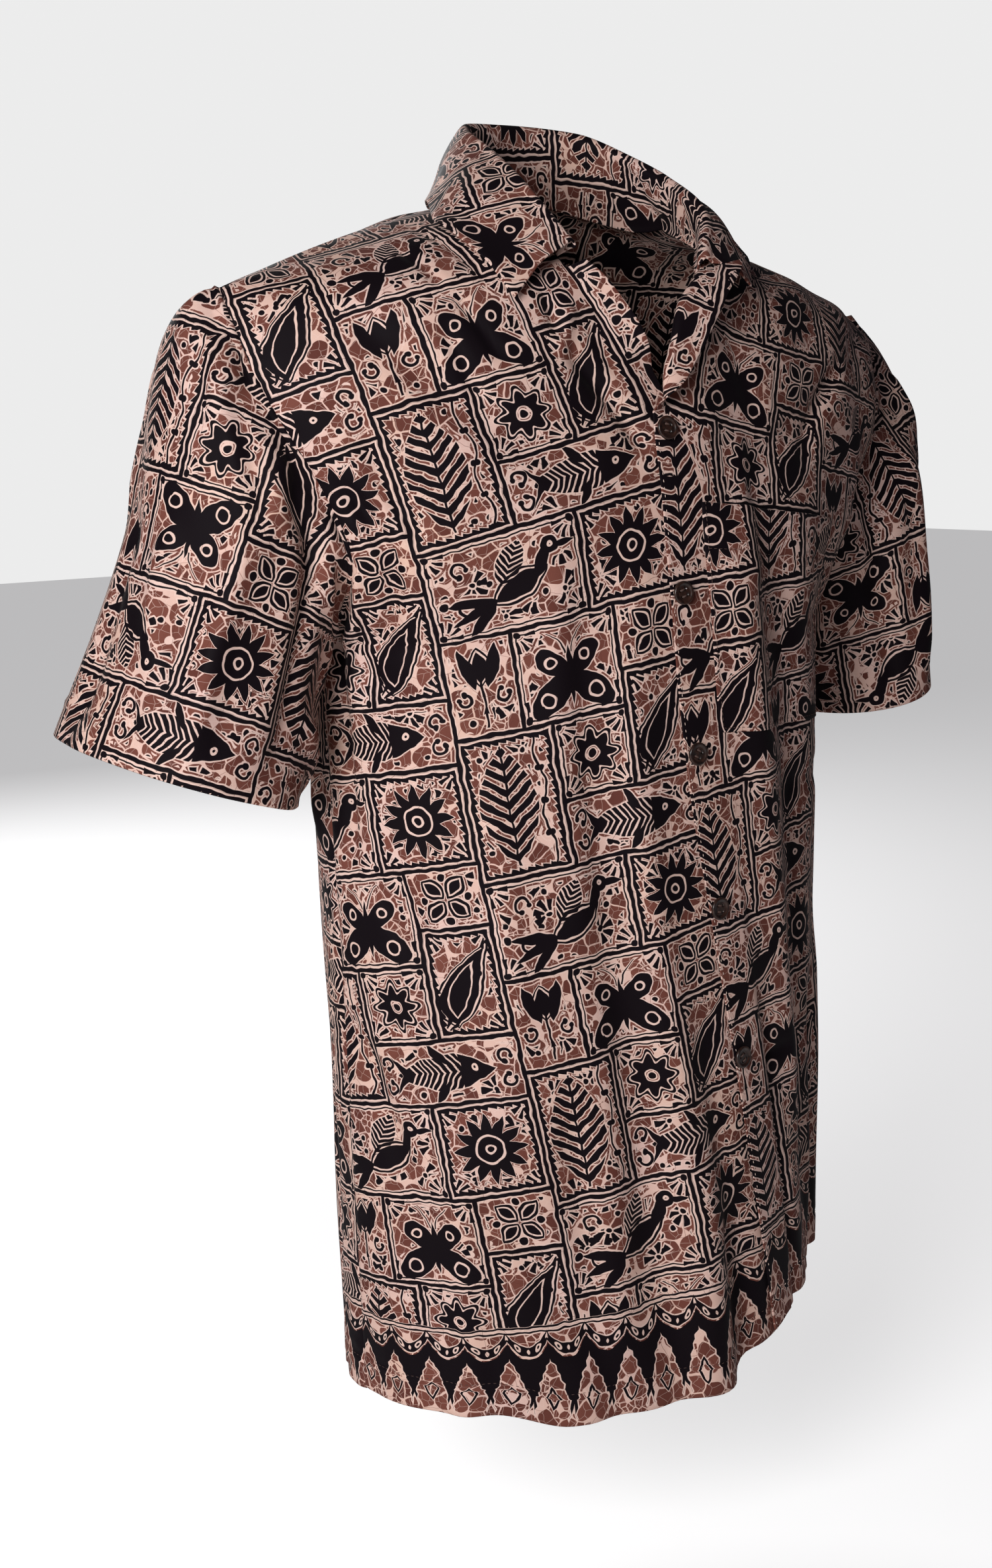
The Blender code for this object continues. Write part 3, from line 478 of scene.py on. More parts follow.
def sleeve_points(hand, rings=11, lines=ARMHOLE_LINES):
    """Outer grid of a sleeve: it starts on the armhole and settles into its own rings."""
    share = (lines - ARMPIT) / (1 - ARMPIT)
    v = np.concatenate([lines[::-1], lines[1:-1]])
    theta = np.concatenate([(1 - share[::-1]) * math.pi, (1 + share[1:-1]) * math.pi])
    front = theta <= math.pi
    armhole = np.where(front[:, None], FRONT_ARMHOLE.point(v), BACK_ARMHOLE.point(v))
    armhole[:, 2] += hang(armhole[:, 0] * hand, v, "back")
    armhole[:, 0] += SLEEVE_OUT * (1 - (v - ARMPIT) / (1 - ARMPIT)) ** 4
    side = "left" if hand > 0 else "right"

    def ring(t):
        top = np.array([SLEEVE.at(side + "_x", t), SLEEVE.at("y", t), SLEEVE.at(side + "_z", t)])
        under_z = SLEEVE.at("under_z", t) + (SLEEVE.at("lift", t) if hand > 0 else 0)
        under = np.array([SLEEVE.at("under_x", t), SLEEVE.at("y", t), under_z])
        deep = np.where(front, SLEEVE.at("front", t), SLEEVE.at("back", t))
        aside = np.array([0, -1, 0]) * deep[:, None] - np.array([0, 0, SLEEVE.at("dip", t)])
        return ((top + under) / 2 + (top - under) / 2 * np.cos(theta)[:, None]
                + aside * np.sin(theta)[:, None])

    grid = []
    for t in np.linspace(0, 1, rings):
        fade = 1 - smooth(t, 0, 0.75)
        grid.append(ring(t) + (armhole - ring(0)) * fade)
    return np.array(grid).transpose(1, 0, 2) * np.array([hand, 1, 1])


def wall_normals(outer, notch):
    """Normals of a grid that may lack its first columns above one of its rows."""
    out = normals(outer)
    if notch:
        columns, row = notch
        out[:, :row + 1] = normals(outer[:, :row + 1])
        out[columns:, row + 1:] = normals(outer[columns:])[:, row + 1:]
    return out


def lift_clear(points, bodies, clear):
    """Moves the points that lie too close to the bodies out along their normals."""
    ground = np.concatenate([body.reshape(-1, 3) for body, _ in bodies])
    out = np.concatenate([facing.reshape(-1, 3) for _, facing in bodies])
    flat = points.reshape(-1, 3).copy()
    for _ in range(3):
        for i, point in enumerate(flat):
            near = np.argmin(np.sum((ground - point) ** 2, axis=1))
            height = np.dot(point - ground[near], out[near])
            if height < clear:
                flat[i] = point + out[near] * (clear - height)
    return flat.reshape(points.shape)


def resample(line, count):
    """Points evenly spaced along a line."""
    step = np.linalg.norm(np.diff(line, axis=0), axis=1)
    run = np.concatenate([[0], np.cumsum(step)])
    at = np.linspace(0, run[-1], count)
    return np.stack([np.interp(at, run, line[:, axis]) for axis in range(3)], -1)


def collar_points(right, back, left, count=37):
    """Stand, roll and leaf, from the right front end round the back to the left one."""
    neck = back[np.abs(back[:, -1, 0]) < SHOULDER_IN, -1]
    right, left = right[STRIP_COLUMNS, NOTCH_ROW:], left[STRIP_COLUMNS, NOTCH_ROW:]
    seam = resample(np.concatenate([right, neck, left[::-1]]), count + 2)[1:-1]
    s = np.linspace(-1, 1, count)
    roll = np.stack([COLLAR.at("roll_" + axis, s) for axis in "xyz"], -1)
    edge = np.stack([COLLAR.at("edge_" + axis, s) for axis in "xyz"], -1)
    seam = seam + unit(roll - seam) * COLLAR_START
    away = edge - roll
    away[:, 2] = 0
    away = unit(away)
    lines = []
    for row in COLLAR_LINES:
        stand, leaf, out, up = (COLLAR_SHAPE.at(name, row) for name in COLLAR_SHAPE.columns)
        line = seam * stand + edge * leaf + roll * (1 - stand - leaf) + away * out
        lines.append(line + np.array([0, 0, up]))
    grid = np.stack(lines, 1)
    reach = np.linspace(0, COLLAR_REACH, 50)
    upper = np.linspace(NECK_START, 1, 40)
    bodies = []
    for hand in (-1, 1):
        u, v = np.meshgrid(reach, upper, indexing="ij")
        form = front_form(hand, u, v)
        bodies.append((form, normals(form) * hand))
    u, v = np.meshgrid(np.concatenate([-reach[:0:-1], reach]), upper, indexing="ij")
    form = back_form(u, v)
    bodies.append((form, -normals(form)))
    grid[:, COLLAR_FREE:] = lift_clear(grid[:, COLLAR_FREE:], bodies, COLLAR_CLEAR)
    return grid


right_form, left_form, back_shape = front_points(-1), front_points(1), back_points()
collar_form = collar_points(right_form, back_shape, left_form)
print("coarse grids:", right_form.shape, back_shape.shape, collar_form.shape)

# %% [markdown]
# ## Creases
#
# A cloth simulation settles its creases where the forces put them.  Here they are listed
# instead, as a tailor would describe them: a drag line from the collar, a valley down from
# the chest, short pulls beside a seam.  Lengths, depths and gaps are uneven on purpose.
# Slow swells and the small gathers beside a seam come from a few crossing waves.

# %% Creases, listed
# path (u, v) from start over middle to end, half width and height in metres
RIGHT_CREASES = [
    (0.20, 0.79, 0.17, 0.55, 0.23, 0.36, 0.013, -0.0018),
    (0.23, 0.40, 0.25, 0.18, 0.36, 0.00, 0.013, -0.0018),
    (0.30, 0.74, 0.27, 0.55, 0.33, 0.38, 0.012, 0.0013),
    (0.165, 0.22, 0.17, 0.10, 0.20, 0.00, 0.014, 0.0020),
    (0.085, 0.17, 0.09, 0.06, 0.11, 0.00, 0.008, -0.0018),
    (0.75, 0.87, 0.79, 0.80, 0.675, 0.756, 0.008, -0.0016),
    (0.66, 0.96, 0.58, 0.89, 0.30, 0.86, 0.012, -0.0013),
    (0.04, 0.915, 0.015, 0.89, 0.04, 0.865, 0.006, -0.0010),
    (0.42, 0.985, 0.39, 0.97, 0.38, 0.95, 0.004, -0.0009),
    (0.30, 0.995, 0.27, 0.97, 0.25, 0.95, 0.004, -0.0009),
    (0.84, 0.37, 0.78, 0.33, 0.70, 0.27, 0.009, -0.0018),
    (0.56, 0.20, 0.50, 0.12, 0.42, 0.05, 0.010, -0.0013),
    (0.44, 0.93, 0.40, 0.90, 0.42, 0.86, 0.005, -0.0012),
    (0.36, 0.95, 0.33, 0.92, 0.31, 0.89, 0.004, -0.0012),
    (0.14, 0.90, 0.09, 0.86, 0.05, 0.80, 0.006, -0.0020),
    (0.05, 0.93, 0.11, 0.915, 0.17, 0.89, 0.004, 0.0016),
    (0.10, 0.945, 0.13, 0.92, 0.14, 0.90, 0.004, -0.0016),
    (0.92, 0.84, 0.80, 0.74, 0.74, 0.64, 0.009, -0.0026),
    (0.98, 0.76, 0.88, 0.68, 0.84, 0.58, 0.007, 0.0018),
    (0.97, 0.70, 0.90, 0.60, 0.90, 0.46, 0.006, -0.0020),
    (0.96, 0.66, 0.80, 0.63, 0.62, 0.62, 0.008, -0.0016),
    (0.90, 0.48, 0.74, 0.42, 0.62, 0.40, 0.007, -0.0014),
    (0.95, 0.34, 0.84, 0.27, 0.76, 0.16, 0.009, -0.0022),
    (0.50, 0.60, 0.47, 0.44, 0.50, 0.30, 0.010, 0.0014),
    (0.40, 0.30, 0.42, 0.14, 0.40, 0.00, 0.009, -0.0020),
    (0.66, 0.26, 0.66, 0.12, 0.70, 0.00, 0.010, 0.0022),
    (0.30, 0.55, 0.20, 0.52, 0.10, 0.53, 0.006, -0.0010),
    (0.26, 0.42, 0.16, 0.40, 0.07, 0.41, 0.005, -0.0009),
]
LEFT_CREASES = [
    (0.115, 0.79, 0.12, 0.65, 0.20, 0.48, 0.012, 0.0015),
    (0.125, 0.913, 0.23, 0.89, 0.263, 0.83, 0.006, -0.0010),
    (0.30, 0.40, 0.34, 0.20, 0.30, 0.00, 0.012, -0.0015),
    (0.60, 0.92, 0.48, 0.88, 0.40, 0.80, 0.006, -0.0016),
    (0.94, 0.82, 0.82, 0.72, 0.74, 0.66, 0.009, -0.0024),
    (0.97, 0.72, 0.86, 0.62, 0.84, 0.50, 0.007, -0.0020),
    (0.20, 0.84, 0.17, 0.76, 0.20, 0.68, 0.007, 0.0014),
    (0.70, 0.55, 0.52, 0.50, 0.34, 0.52, 0.008, -0.0014),
    (0.50, 0.34, 0.52, 0.18, 0.50, 0.00, 0.010, -0.0024),
    (0.12, 0.36, 0.11, 0.18, 0.13, 0.00, 0.007, -0.0018),
    (0.82, 0.40, 0.80, 0.20, 0.84, 0.00, 0.010, 0.0022),
    (0.22, 0.41, 0.14, 0.40, 0.06, 0.41, 0.005, -0.0009),
    (0.24, 0.27, 0.15, 0.26, 0.06, 0.28, 0.005, -0.0009),
]
BACK_CREASES = [
    (-0.90, 0.80, -0.76, 0.70, -0.70, 0.58, 0.009, -0.0026),
    (0.92, 0.78, 0.80, 0.68, 0.70, 0.60, 0.009, -0.0026),
    (-0.97, 0.70, -0.88, 0.60, -0.88, 0.48, 0.007, 0.0018),
    (0.97, 0.68, 0.90, 0.58, 0.92, 0.44, 0.007, -0.0018),
    (-0.40, 0.94, -0.20, 0.90, 0.10, 0.905, 0.007, -0.0014),
    (0.44, 0.92, 0.30, 0.86, 0.26, 0.78, 0.008, -0.0014),
    (-0.16, 0.50, -0.18, 0.26, -0.14, 0.00, 0.010, -0.0024),
    (0.12, 0.44, 0.16, 0.22, 0.14, 0.00, 0.011, 0.0024),
    (0.48, 0.40, 0.46, 0.18, 0.50, 0.00, 0.010, -0.0022),
    (-0.50, 0.36, -0.46, 0.18, -0.49, 0.00, 0.011, 0.0024),
    (-0.84, 0.34, -0.80, 0.16, -0.82, 0.00, 0.009, -0.0022),
    (0.84, 0.36, 0.80, 0.18, 0.86, 0.00, 0.009, 0.0020),
    (-0.60, 0.53, -0.20, 0.50, 0.24, 0.53, 0.012, 0.0012),
]
# on a sleeve u runs from the underarm over the back, the top and the front (0 to 1) and v
# from the armhole to the hem
SLEEVE_CREASES = [
    (0.62, 0.04, 0.63, 0.24, 0.60, 0.50, 0.006, -0.0016),
    (0.72, 0.06, 0.74, 0.30, 0.70, 0.60, 0.007, -0.0018),
    (0.70, 0.40, 0.66, 0.75, 0.68, 1.00, 0.007, -0.0034),
    (0.80, 0.10, 0.82, 0.40, 0.79, 0.98, 0.009, 0.0030),
    (0.57, 0.55, 0.58, 0.85, 0.66, 0.98, 0.008, -0.0030),
    (0.84, 0.70, 0.90, 0.90, 0.98, 0.96, 0.009, -0.0026),
    (0.94, 0.10, 0.92, 0.45, 0.96, 0.90, 0.008, -0.0024),
    (0.40, 0.05, 0.38, 0.30, 0.42, 0.62, 0.007, -0.0018),
    (0.30, 0.20, 0.32, 0.60, 0.28, 1.00, 0.009, -0.0030),
    (0.20, 0.10, 0.18, 0.50, 0.21, 1.00, 0.009, 0.0026),
    (0.08, 0.08, 0.10, 0.50, 0.07, 0.95, 0.008, -0.0024),
    (0.48, 0.55, 0.47, 0.80, 0.50, 1.00, 0.009, 0.0020),
]
COLLAR_CREASES = [
    (0.20, 0.62, 0.24, 0.80, 0.22, 1.00, 0.006, 0.0006),
    (0.78, 0.60, 0.80, 0.80, 0.83, 1.00, 0.006, 0.0006),
    (0.46, 0.62, 0.50, 0.74, 0.57, 0.80, 0.007, -0.0005),
]
print("creases:", sum(map(len, (RIGHT_CREASES, LEFT_CREASES, BACK_CREASES, SLEEVE_CREASES))))


# %% Swells and gathers
DEEPER = 2.2                  # how much deeper the creases are than the tables say
SWELL = 0.0012                # height of the slow swells
SWELL_SIZE = 0.075
SWELL_STRETCH = 0.45          # swells are longer down the body than across it
SWELL_TILT = 0.9
WAVES = 7                     # crossing waves in one uneven surface
GATHER = 0.00045              # height of the small gathers beside a seam
GATHER_SIZE = 0.010
GATHER_REACH = 0.011
GATHER_TILT = 0.5
EDGE_REACH = 0.006            # creases fade out this near to a seam


def waves(along, beside, size, seed, tilt=math.pi):
    """Uneven waves of about one size over a surface; tilt is how far they may turn."""
    random = np.random.default_rng(seed)
    total = 0
    for _ in range(WAVES):
        angle = random.uniform(-1, 1) * tilt
        length, phase = random.uniform(0.6, 1.7), random.uniform(0, 7)
        across_waves = along * math.cos(angle) + beside * math.sin(angle)
        total = total + np.sin(across_waves * 2 * math.pi / (size * length) + phase)
    return total / math.sqrt(WAVES)


def gathers(along, away, seed):
    """Short gathers on a line of stitching, which die away from it."""
    fade = edge(away) * np.exp(-(away / GATHER_REACH) ** 2)
    return GATHER * waves(along, away, GATHER_SIZE, seed, GATHER_TILT) * fade


def edge(away):
    """From 0 on a seam to 1 away from it, so that the two panels stay joined."""
    return smooth(away, 0, EDGE_REACH)


def lengths(points, axis):
    """Running length of a grid's lines along one axis."""
    step = np.linalg.norm(np.diff(points, axis=axis), axis=-1)
    return np.concatenate([np.zeros_like(np.take(step, [0], axis)), np.cumsum(step, axis)], axis)


# %% [markdown]
# ## Laying the cloth flat
#
# The print has to run with the cloth, not with the room, so every panel needs a flat
# pattern in metres, the way it was cut.  Blender's own unwrap would do it, but it gives no
# real sizes and can turn the grain.  Here the grid is a net of springs that keep their
# lengths while it settles on a plane.  The same flat net gives the cut's width, length and
# area, and it becomes the UV map.

# %% Flattening
FLAT_STEP = 4                 # every fourth line of a fine grid is laid flat
FLAT_TURNS = 1500
FLAT_GIVE = 0.14              # share of a spring's error by which each end moves in a turn


def pick(count, step):
    """Numbers of the lines that are kept from a fine grid, its last line among them."""
    return np.unique(np.append(np.arange(0, count, step), count - 1))


def between_lines(values, lines, count):
    """Spreads values at some lines of a grid over all its lines, along the first axis."""
    place = np.arange(count)
    flat_values = values.reshape(len(lines), -1)
    full = [np.interp(place, lines, column) for column in flat_values.T]
    return np.stack(full, -1).reshape(count, *values.shape[1:])


def lay_flat(points, middle, straight=None, from_last=False):
    """Flat place of every grid point; the grid line called middle stays on x = 0.

    The grid line across it called straight, where there is one, keeps its height.  The net
    starts level at its first line across, or at its last one, as a sleeve does at its hem.
    """
    count, rows = points.shape[:2]
    kept_u = np.unique(np.append(pick(count, FLAT_STEP), middle))
    kept_v = pick(rows, FLAT_STEP)
    net = points[np.ix_(kept_u, kept_v)]
    start = int(np.searchsorted(kept_u, middle))
    along = lengths(points, 0)[np.ix_(kept_u, kept_v)]
    run = lengths(points, 1)[np.ix_(kept_u, kept_v)]
    along = along - along[start]
    if from_last:
        along = along[:, -1:] + 0 * run
        run = run - run[:, -1:] + run[start, -1]
    flat = np.stack([along, run], -1)
    level = 0 if straight is None else flat[:, straight, 1].mean()
    head, tail, whole = slice(0, -1), slice(1, None), slice(None)
    springs = []
    for one, other in (((head, whole), (tail, whole)), ((whole, head), (whole, tail)),
                       ((head, head), (tail, tail)), ((head, tail), (tail, head))):
        springs.append((one, other, np.linalg.norm(net[other] - net[one], axis=-1)))
    for _ in range(FLAT_TURNS):
        move = np.zeros_like(flat)
        for one, other, rest in springs:
            gap = flat[other] - flat[one]
            length = np.linalg.norm(gap, axis=-1)
            pull = gap * ((length - rest) / length)[..., None]
            move[one] += pull
            move[other] -= pull
        flat += move * FLAT_GIVE
        flat[start, :, 0] = 0
        if straight is not None:
            flat[:, straight, 1] = level
    wide = between_lines(flat, kept_u, count)
    return between_lines(wide.transpose(1, 0, 2), kept_v, rows).transpose(1, 0, 2)


def flat_area(flat):
    """Area of a flat grid, cell by cell."""
    one = flat[1:, 1:] - flat[:-1, :-1]
    two = flat[:-1, 1:] - flat[1:, :-1]
    return float(np.sum(np.abs(one[..., 0] * two[..., 1] - one[..., 1] * two[..., 0])) / 2)


# %% [markdown]
# ## From a grid to a piece of cloth
#
# A Solidify modifier gives a sheet its thickness, but its rim is square.  Cloth that is
# folded over at an edge has a round one, and an edge that is sewn sinks into its seam.  So
# the shell is built here: an outer skin, an inner skin and a rim between them that bulges
# by half the thickness.

# %% Cloth shells
CLOTH = 0.0008                # thickness of the shell
HEM_CLOTH = 0.0014            # where the cloth is folded over
HEM_DEEP = 0.020
SEAM_SINK = 0.0007            # how far a sewn edge sinks
SEAM_BESIDE = 0.25            # share of that for the line beside it
HEM_RISE = 0.00035            # how far the folded hem stands out
HEM_GROOVE = 0.0004           # how deep its stitching pulls the cloth in
HEM_GROOVE_WIDE = 0.0016


def sink_edges(points, out, seams):
    """Lets the sewn edges of a grid sink along its normals."""
    points = points.copy()
    places = {"first": (0, 1, 0), "last": (-1, -2, 0), "low": (0, 1, 1), "high": (-1, -2, 1)}
    for seam in seams:
        edge, beside, axis = places[seam]
        for line, share in ((edge, 1.0), (beside, SEAM_BESIDE)):
            place = (line,) if axis == 0 else (slice(None), line)
            points[place] -= out[place] * SEAM_SINK * share
    return points


def cloth_shell(name, outer, flat, facing=1, seams=(), notch=None, thick=CLOTH):
    """A closed shell of cloth: two skins, a round rim and the flat pattern as its UV map."""
    count, rows = outer.shape[:2]
    out = wall_normals(outer, notch) * facing
    outer = sink_edges(outer, out, seams)
    inner = outer - out * np.broadcast_to(thick, (count, rows))[..., None]
    skin = []
    for i in range(count - 1):
        low = i * rows
        for j in range(rows - 1):
            if notch and i < notch[0] and j >= notch[1]:
                continue
            skin.append((low + j, low + rows + j, low + rows + j + 1, low + j + 1))
    edges = {(f[k], f[(k + 1) % 4]) for f in skin for k in range(4)}
    rim = sorted((a, b) for a, b in edges if (b, a) not in edges)
    outer, inner, out = outer.reshape(-1, 3), inner.reshape(-1, 3), out.reshape(-1, 3)
    shift = count * rows
    rim_points = sorted({a for a, _ in rim})
    place = {p: 2 * shift + n for n, p in enumerate(rim_points)}
    beside = {p: [] for p in rim_points}
    for face in skin:
        for k, p in enumerate(face):
            if p in beside:
                beside[p].append(face[(k + 2) % 4])
    bulge = []
    for p in rim_points:
        away = outer[p] - np.mean(outer[beside[p]], axis=0)
        away -= out[p] * np.dot(away, out[p])
        away /= np.linalg.norm(away)
        middle = (outer[p] + inner[p]) / 2
        bulge.append(middle + away * np.linalg.norm(outer[p] - inner[p]) / 2)
    faces = skin + [tuple(shift + p for p in reversed(face)) for face in skin]
    for a, b in rim:
        faces += [(b, a, place[a], place[b]), (place[b], place[a], shift + a, shift + b)]
    points = np.concatenate([outer, inner, bulge])
    pattern = flat.reshape(-1, 2)
    pattern = np.concatenate([pattern, pattern, pattern[rim_points]])
    if facing < 0:
        faces = [tuple(reversed(face)) for face in faces]
    return mesh_piece(name, points, faces, pattern)


def placed(name, data):
    """A new object in the scene."""
    made = bpy.data.objects.new(name, data)
    bpy.context.collection.objects.link(made)
    return made


def mesh_piece(name, points, faces, pattern=None):
    """A smooth mesh object with no loose points."""
    used = np.unique(np.concatenate([np.ravel(face) for face in faces]))
    place = np.full(len(points), -1)
    place[used] = np.arange(len(used))
    mesh = bpy.data.meshes.new(name)
    mesh.from_pydata(points[used].tolist(), [], [place[list(face)].tolist() for face in faces])
    if pattern is not None:
        corner = np.empty(len(mesh.loops), np.int32)
        mesh.loops.foreach_get("vertex_index", corner)
        layer = mesh.uv_layers.new(name="cut")
        layer.uv.foreach_set("vector", pattern[used][corner].astype(np.float32).ravel())
    mesh.shade_smooth()
    return placed(name, mesh)


def hem_thickness(from_hem):
    """The hem is folded, so it is thicker up to its stitches."""
    return CLOTH + (HEM_CLOTH - CLOTH) * (1 - smooth(from_hem, HEM_DEEP, HEM_DEEP + 0.002))


def hem_relief(from_hem):
    """What the fold and its stitching do to the face of the cloth."""
    fold = HEM_RISE * (1 - smooth(from_hem, HEM_DEEP - 0.002, HEM_DEEP + 0.001))
    return fold - HEM_GROOVE * np.exp(-((from_hem - HEM_DEEP) / HEM_GROOVE_WIDE) ** 2)


# %% [markdown]
# ## Fronts, back and sleeves
#
# The fine grids have a line about every three millimetres, and a few more at the stitches
# of the hem.  The lapel is not a piece of its own: it is the edge of the left front,
# turned over at the roll line, so it shows the other side of the same cloth.

# %% Body panels
HEM_ROWS = [0.0245, 0.0262, 0.0279, 0.0296]
FINE_LINES = np.unique(np.concatenate([
    np.linspace(0, ARMPIT, 160), HEM_ROWS, np.linspace(ARMPIT, NOTCH, 80), np.linspace(NOTCH, 1, 14)]))
FINE_NOTCH = len(FINE_LINES) - 14
FINE_STRIP = 14
FRONT_COLUMNS = 80
DRESS = {"front_right": (0.0, 0.0), "front_left": (0.022, -0.006), "back": (0.31, 0.004),
         "sleeve_right": (0.62, 0.34), "sleeve_left": (0.97, 0.29)}
TUCK_UNDER = 0.0017           # how deep a sleeve's seam allowance lies under the panels
LAP_ROOM = 0.0001             # how far a front's creases may reach towards the other front
LAP_FREE = 0.010              # that limit outside the lap
LAP_OPENS = (0.019, 0.034)    # from the fold, where the lap ends
LAP_TOP = (0.80, 0.86)        # v where the V of the neck opens
CALM = (0.002, 0.030)         # from a front's fold, where swells and gathers set in
CREASES_FROM = (0, 0.012)     # from there, where its creases set in
STRIP_RISE = 0.0003           # how far creases may lift the strip past the fold
HEM_GATHERS = 0.6             # gathers at the hem, as a share of those at a seam
BACK_NECK, BACK_SHOULDER = 44, 46    # columns of the back below the neck and each shoulder
sheets, allowances = {}, {}


def dressed(points, out, height):
    return points + out * height[..., None]


def make_front(name, hand):
    folds = RIGHT_CREASES if hand < 0 else LEFT_CREASES
    grid = front_points(hand, FRONT_COLUMNS, FINE_LINES, FINE_STRIP)
    notch = (FINE_STRIP, FINE_NOTCH)
    out = wall_normals(grid, notch) * hand
    u = np.concatenate([np.zeros(FINE_STRIP), np.linspace(0, 1, FRONT_COLUMNS + 1)])
    u, v = np.meshgrid(u, FINE_LINES, indexing="ij")
    side, hem = lengths(grid, 0), lengths(grid, 1)
    from_side = side[-1] - side
    from_fold = np.abs(side - side[FINE_STRIP])
    calm = smooth(from_fold, *CALM)
    height = DEEPER * fold_height(u, v, folds, FRONT_WIDTH, BODY_LENGTH)
    height = height * smooth(from_fold, *CREASES_FROM)
    height += SWELL * waves(side, hem * SWELL_STRETCH, SWELL_SIZE, 5 + hand, SWELL_TILT) * calm
    height *= edge(from_side) * edge(hem[:, -1:] - hem)
    height += gathers(hem, from_side, 11 + hand)
    height += gathers(side, hem - HEM_DEEP, 21 + hand) * HEM_GATHERS * calm + hem_relief(hem)
    height[:FINE_STRIP] = np.minimum(height[:FINE_STRIP], STRIP_RISE)
    # in the lap neither front comes nearer to the other one: the left one lies on top
    free = np.maximum(smooth(from_fold, *LAP_OPENS), smooth(v, *LAP_TOP))
    height = -hand * np.minimum(-hand * height, LAP_ROOM + LAP_FREE * free)
    grid = dressed(grid, out, height)
    flat = lay_flat(grid, FINE_STRIP, 0) * (hand, 1)
    piece = cloth_shell(name + "_cloth", grid, flat + DRESS[name], hand, ("last", "high"), notch,
                        hem_thickness(hem))
    sheets[name] = (piece, flat)
    allowances[name] = (grid - out * TUCK_UNDER)[-2]
    return grid


def make_back():
    grid = back_points(BACK_NECK, BACK_SHOULDER, FINE_LINES)
    out = -normals(grid)
    u = back_columns(BACK_NECK, BACK_SHOULDER)
    u, v = np.meshgrid(u, FINE_LINES, indexing="ij")
    side, hem = lengths(grid, 0), lengths(grid, 1)
    height = DEEPER * fold_height(u, v, BACK_CREASES, BACK_WIDTH, BODY_LENGTH)
    height += SWELL * waves(side, hem * SWELL_STRETCH, SWELL_SIZE, 31, SWELL_TILT)
    height *= edge(side) * edge(side[-1] - side) * edge(hem[:, -1:] - hem)
    height += gathers(hem, side[-1] - side, 32) + gathers(hem, side, 33)
    height += gathers(side, hem - HEM_DEEP, 34) * HEM_GATHERS + hem_relief(hem)
    grid = dressed(grid, out, height)
    middle = len(u) // 2
    flat = lay_flat(grid, middle, 0) * (-1, 1)
    seams = ("first", "last", "high")
    piece = cloth_shell("back_cloth", grid, flat + DRESS["back"], -1, seams, None, hem_thickness(hem))
    sheets["back"] = (piece, flat)
    under = grid - out * TUCK_UNDER
    sides = sorted((under[1], under[-2]), key=lambda line: line[0, 0])
    allowances["back_right"], allowances["back_left"] = sides
    return grid


right_grid, left_grid = make_front("front_right", -1), make_front("front_left", 1)
back_grid = make_back()
for name, (piece, flat) in sheets.items():
    size = flat.reshape(-1, 2).max(0) - flat.reshape(-1, 2).min(0)
    print(name, "flat", size.round(3), "area", round(flat_area(flat), 4),
          "faces", len(piece.data.polygons))

# %% Sleeves
SLEEVE_ROUND = 0.43
SLEEVE_LONG = 0.24
SLEEVE_RINGS = 84
ARMHOLE_SINK = 0.0008
UNDERARM_CALM = (0, 0.02)     # from the underarm seam, where creases set in
SLEEVE_SWELLS = (0.5, 0.8)    # their stretch, and their size as a share of the body's
SLEEVE_GATHERS = 1.3


def make_sleeve(name, hand):
    lines = FINE_LINES[FINE_LINES >= ARMPIT - 1e-9][::2]
    lines = np.append(lines, 1.0) if lines[-1] < 1 else lines
    ring = sleeve_points(hand, SLEEVE_RINGS, lines)
    grid = np.roll(ring, len(lines) - 1, axis=0)
    grid = np.concatenate([grid, grid[:1]])
    out = -normals(grid) * hand
    out[0] = out[-1] = unit(out[0] + out[-1])
    u, v = np.meshgrid(np.linspace(0, 1, len(grid)), np.linspace(0, 1, SLEEVE_RINGS), indexing="ij")
    u = u if hand < 0 else 1 - u
    side, run = lengths(grid, 0), lengths(grid, 1)
    from_hem = run[:, -1:] - run
    calm = smooth(np.minimum(side, side[-1] - side), *UNDERARM_CALM)
    stretch, share = SLEEVE_SWELLS
    height = DEEPER * fold_height(u, v, SLEEVE_CREASES, SLEEVE_ROUND, SLEEVE_LONG) * calm
    height += SWELL * waves(side, run * stretch, SWELL_SIZE * share, 41 + hand, SWELL_TILT) * calm
    height *= edge(run)
    height += gathers(side, run, 44 + hand) * SLEEVE_GATHERS + hem_relief(from_hem)
    height += gathers(side, from_hem - HEM_DEEP, 47 + hand) * HEM_GATHERS * calm
    grid = dressed(grid, out, height)
    # the allowance slips under the edge of the back for the first half of the ring, and
    # under the edge of the front for the second
    rows, label = np.searchsorted(FINE_LINES, lines - 1e-9), "left" if hand > 0 else "right"
    tuck = np.concatenate([allowances["back_" + label][rows[:-1]],
                           allowances["front_" + label][rows[::-1]]])
    grid[:, 0] -= out[:, 0] * ARMHOLE_SINK
    grid = np.concatenate([tuck[:, None], grid], axis=1)
    from_hem = np.concatenate([from_hem[:, :1], from_hem], axis=1)
    flat = lay_flat(grid, len(grid) // 2, from_last=True)
    piece = cloth_shell(name + "_cloth", grid, flat + DRESS[name], -hand, ("first", "last", "low"),
                        None, hem_thickness(from_hem))
    sheets[name] = (piece, flat)
    return grid


SLEEVES = (("sleeve_right", -1), ("sleeve_left", 1))
sleeve_grids = {name: make_sleeve(name, hand) for name, hand in SLEEVES}
print("sleeves:", {name: grid.shape for name, grid in sleeve_grids.items()})

# %% [markdown]
# ## Collar and pocket
#
# The collar is one piece of doubled cloth with a stiffener in it, so it is thicker than
# the rest and it rolls instead of creasing.  It is refined from the coarse grid of the CAD
# model.  The pocket copies the points of the front that it is sewn to, folds and all, and
# lies about a millimetre above them, so it follows the front.

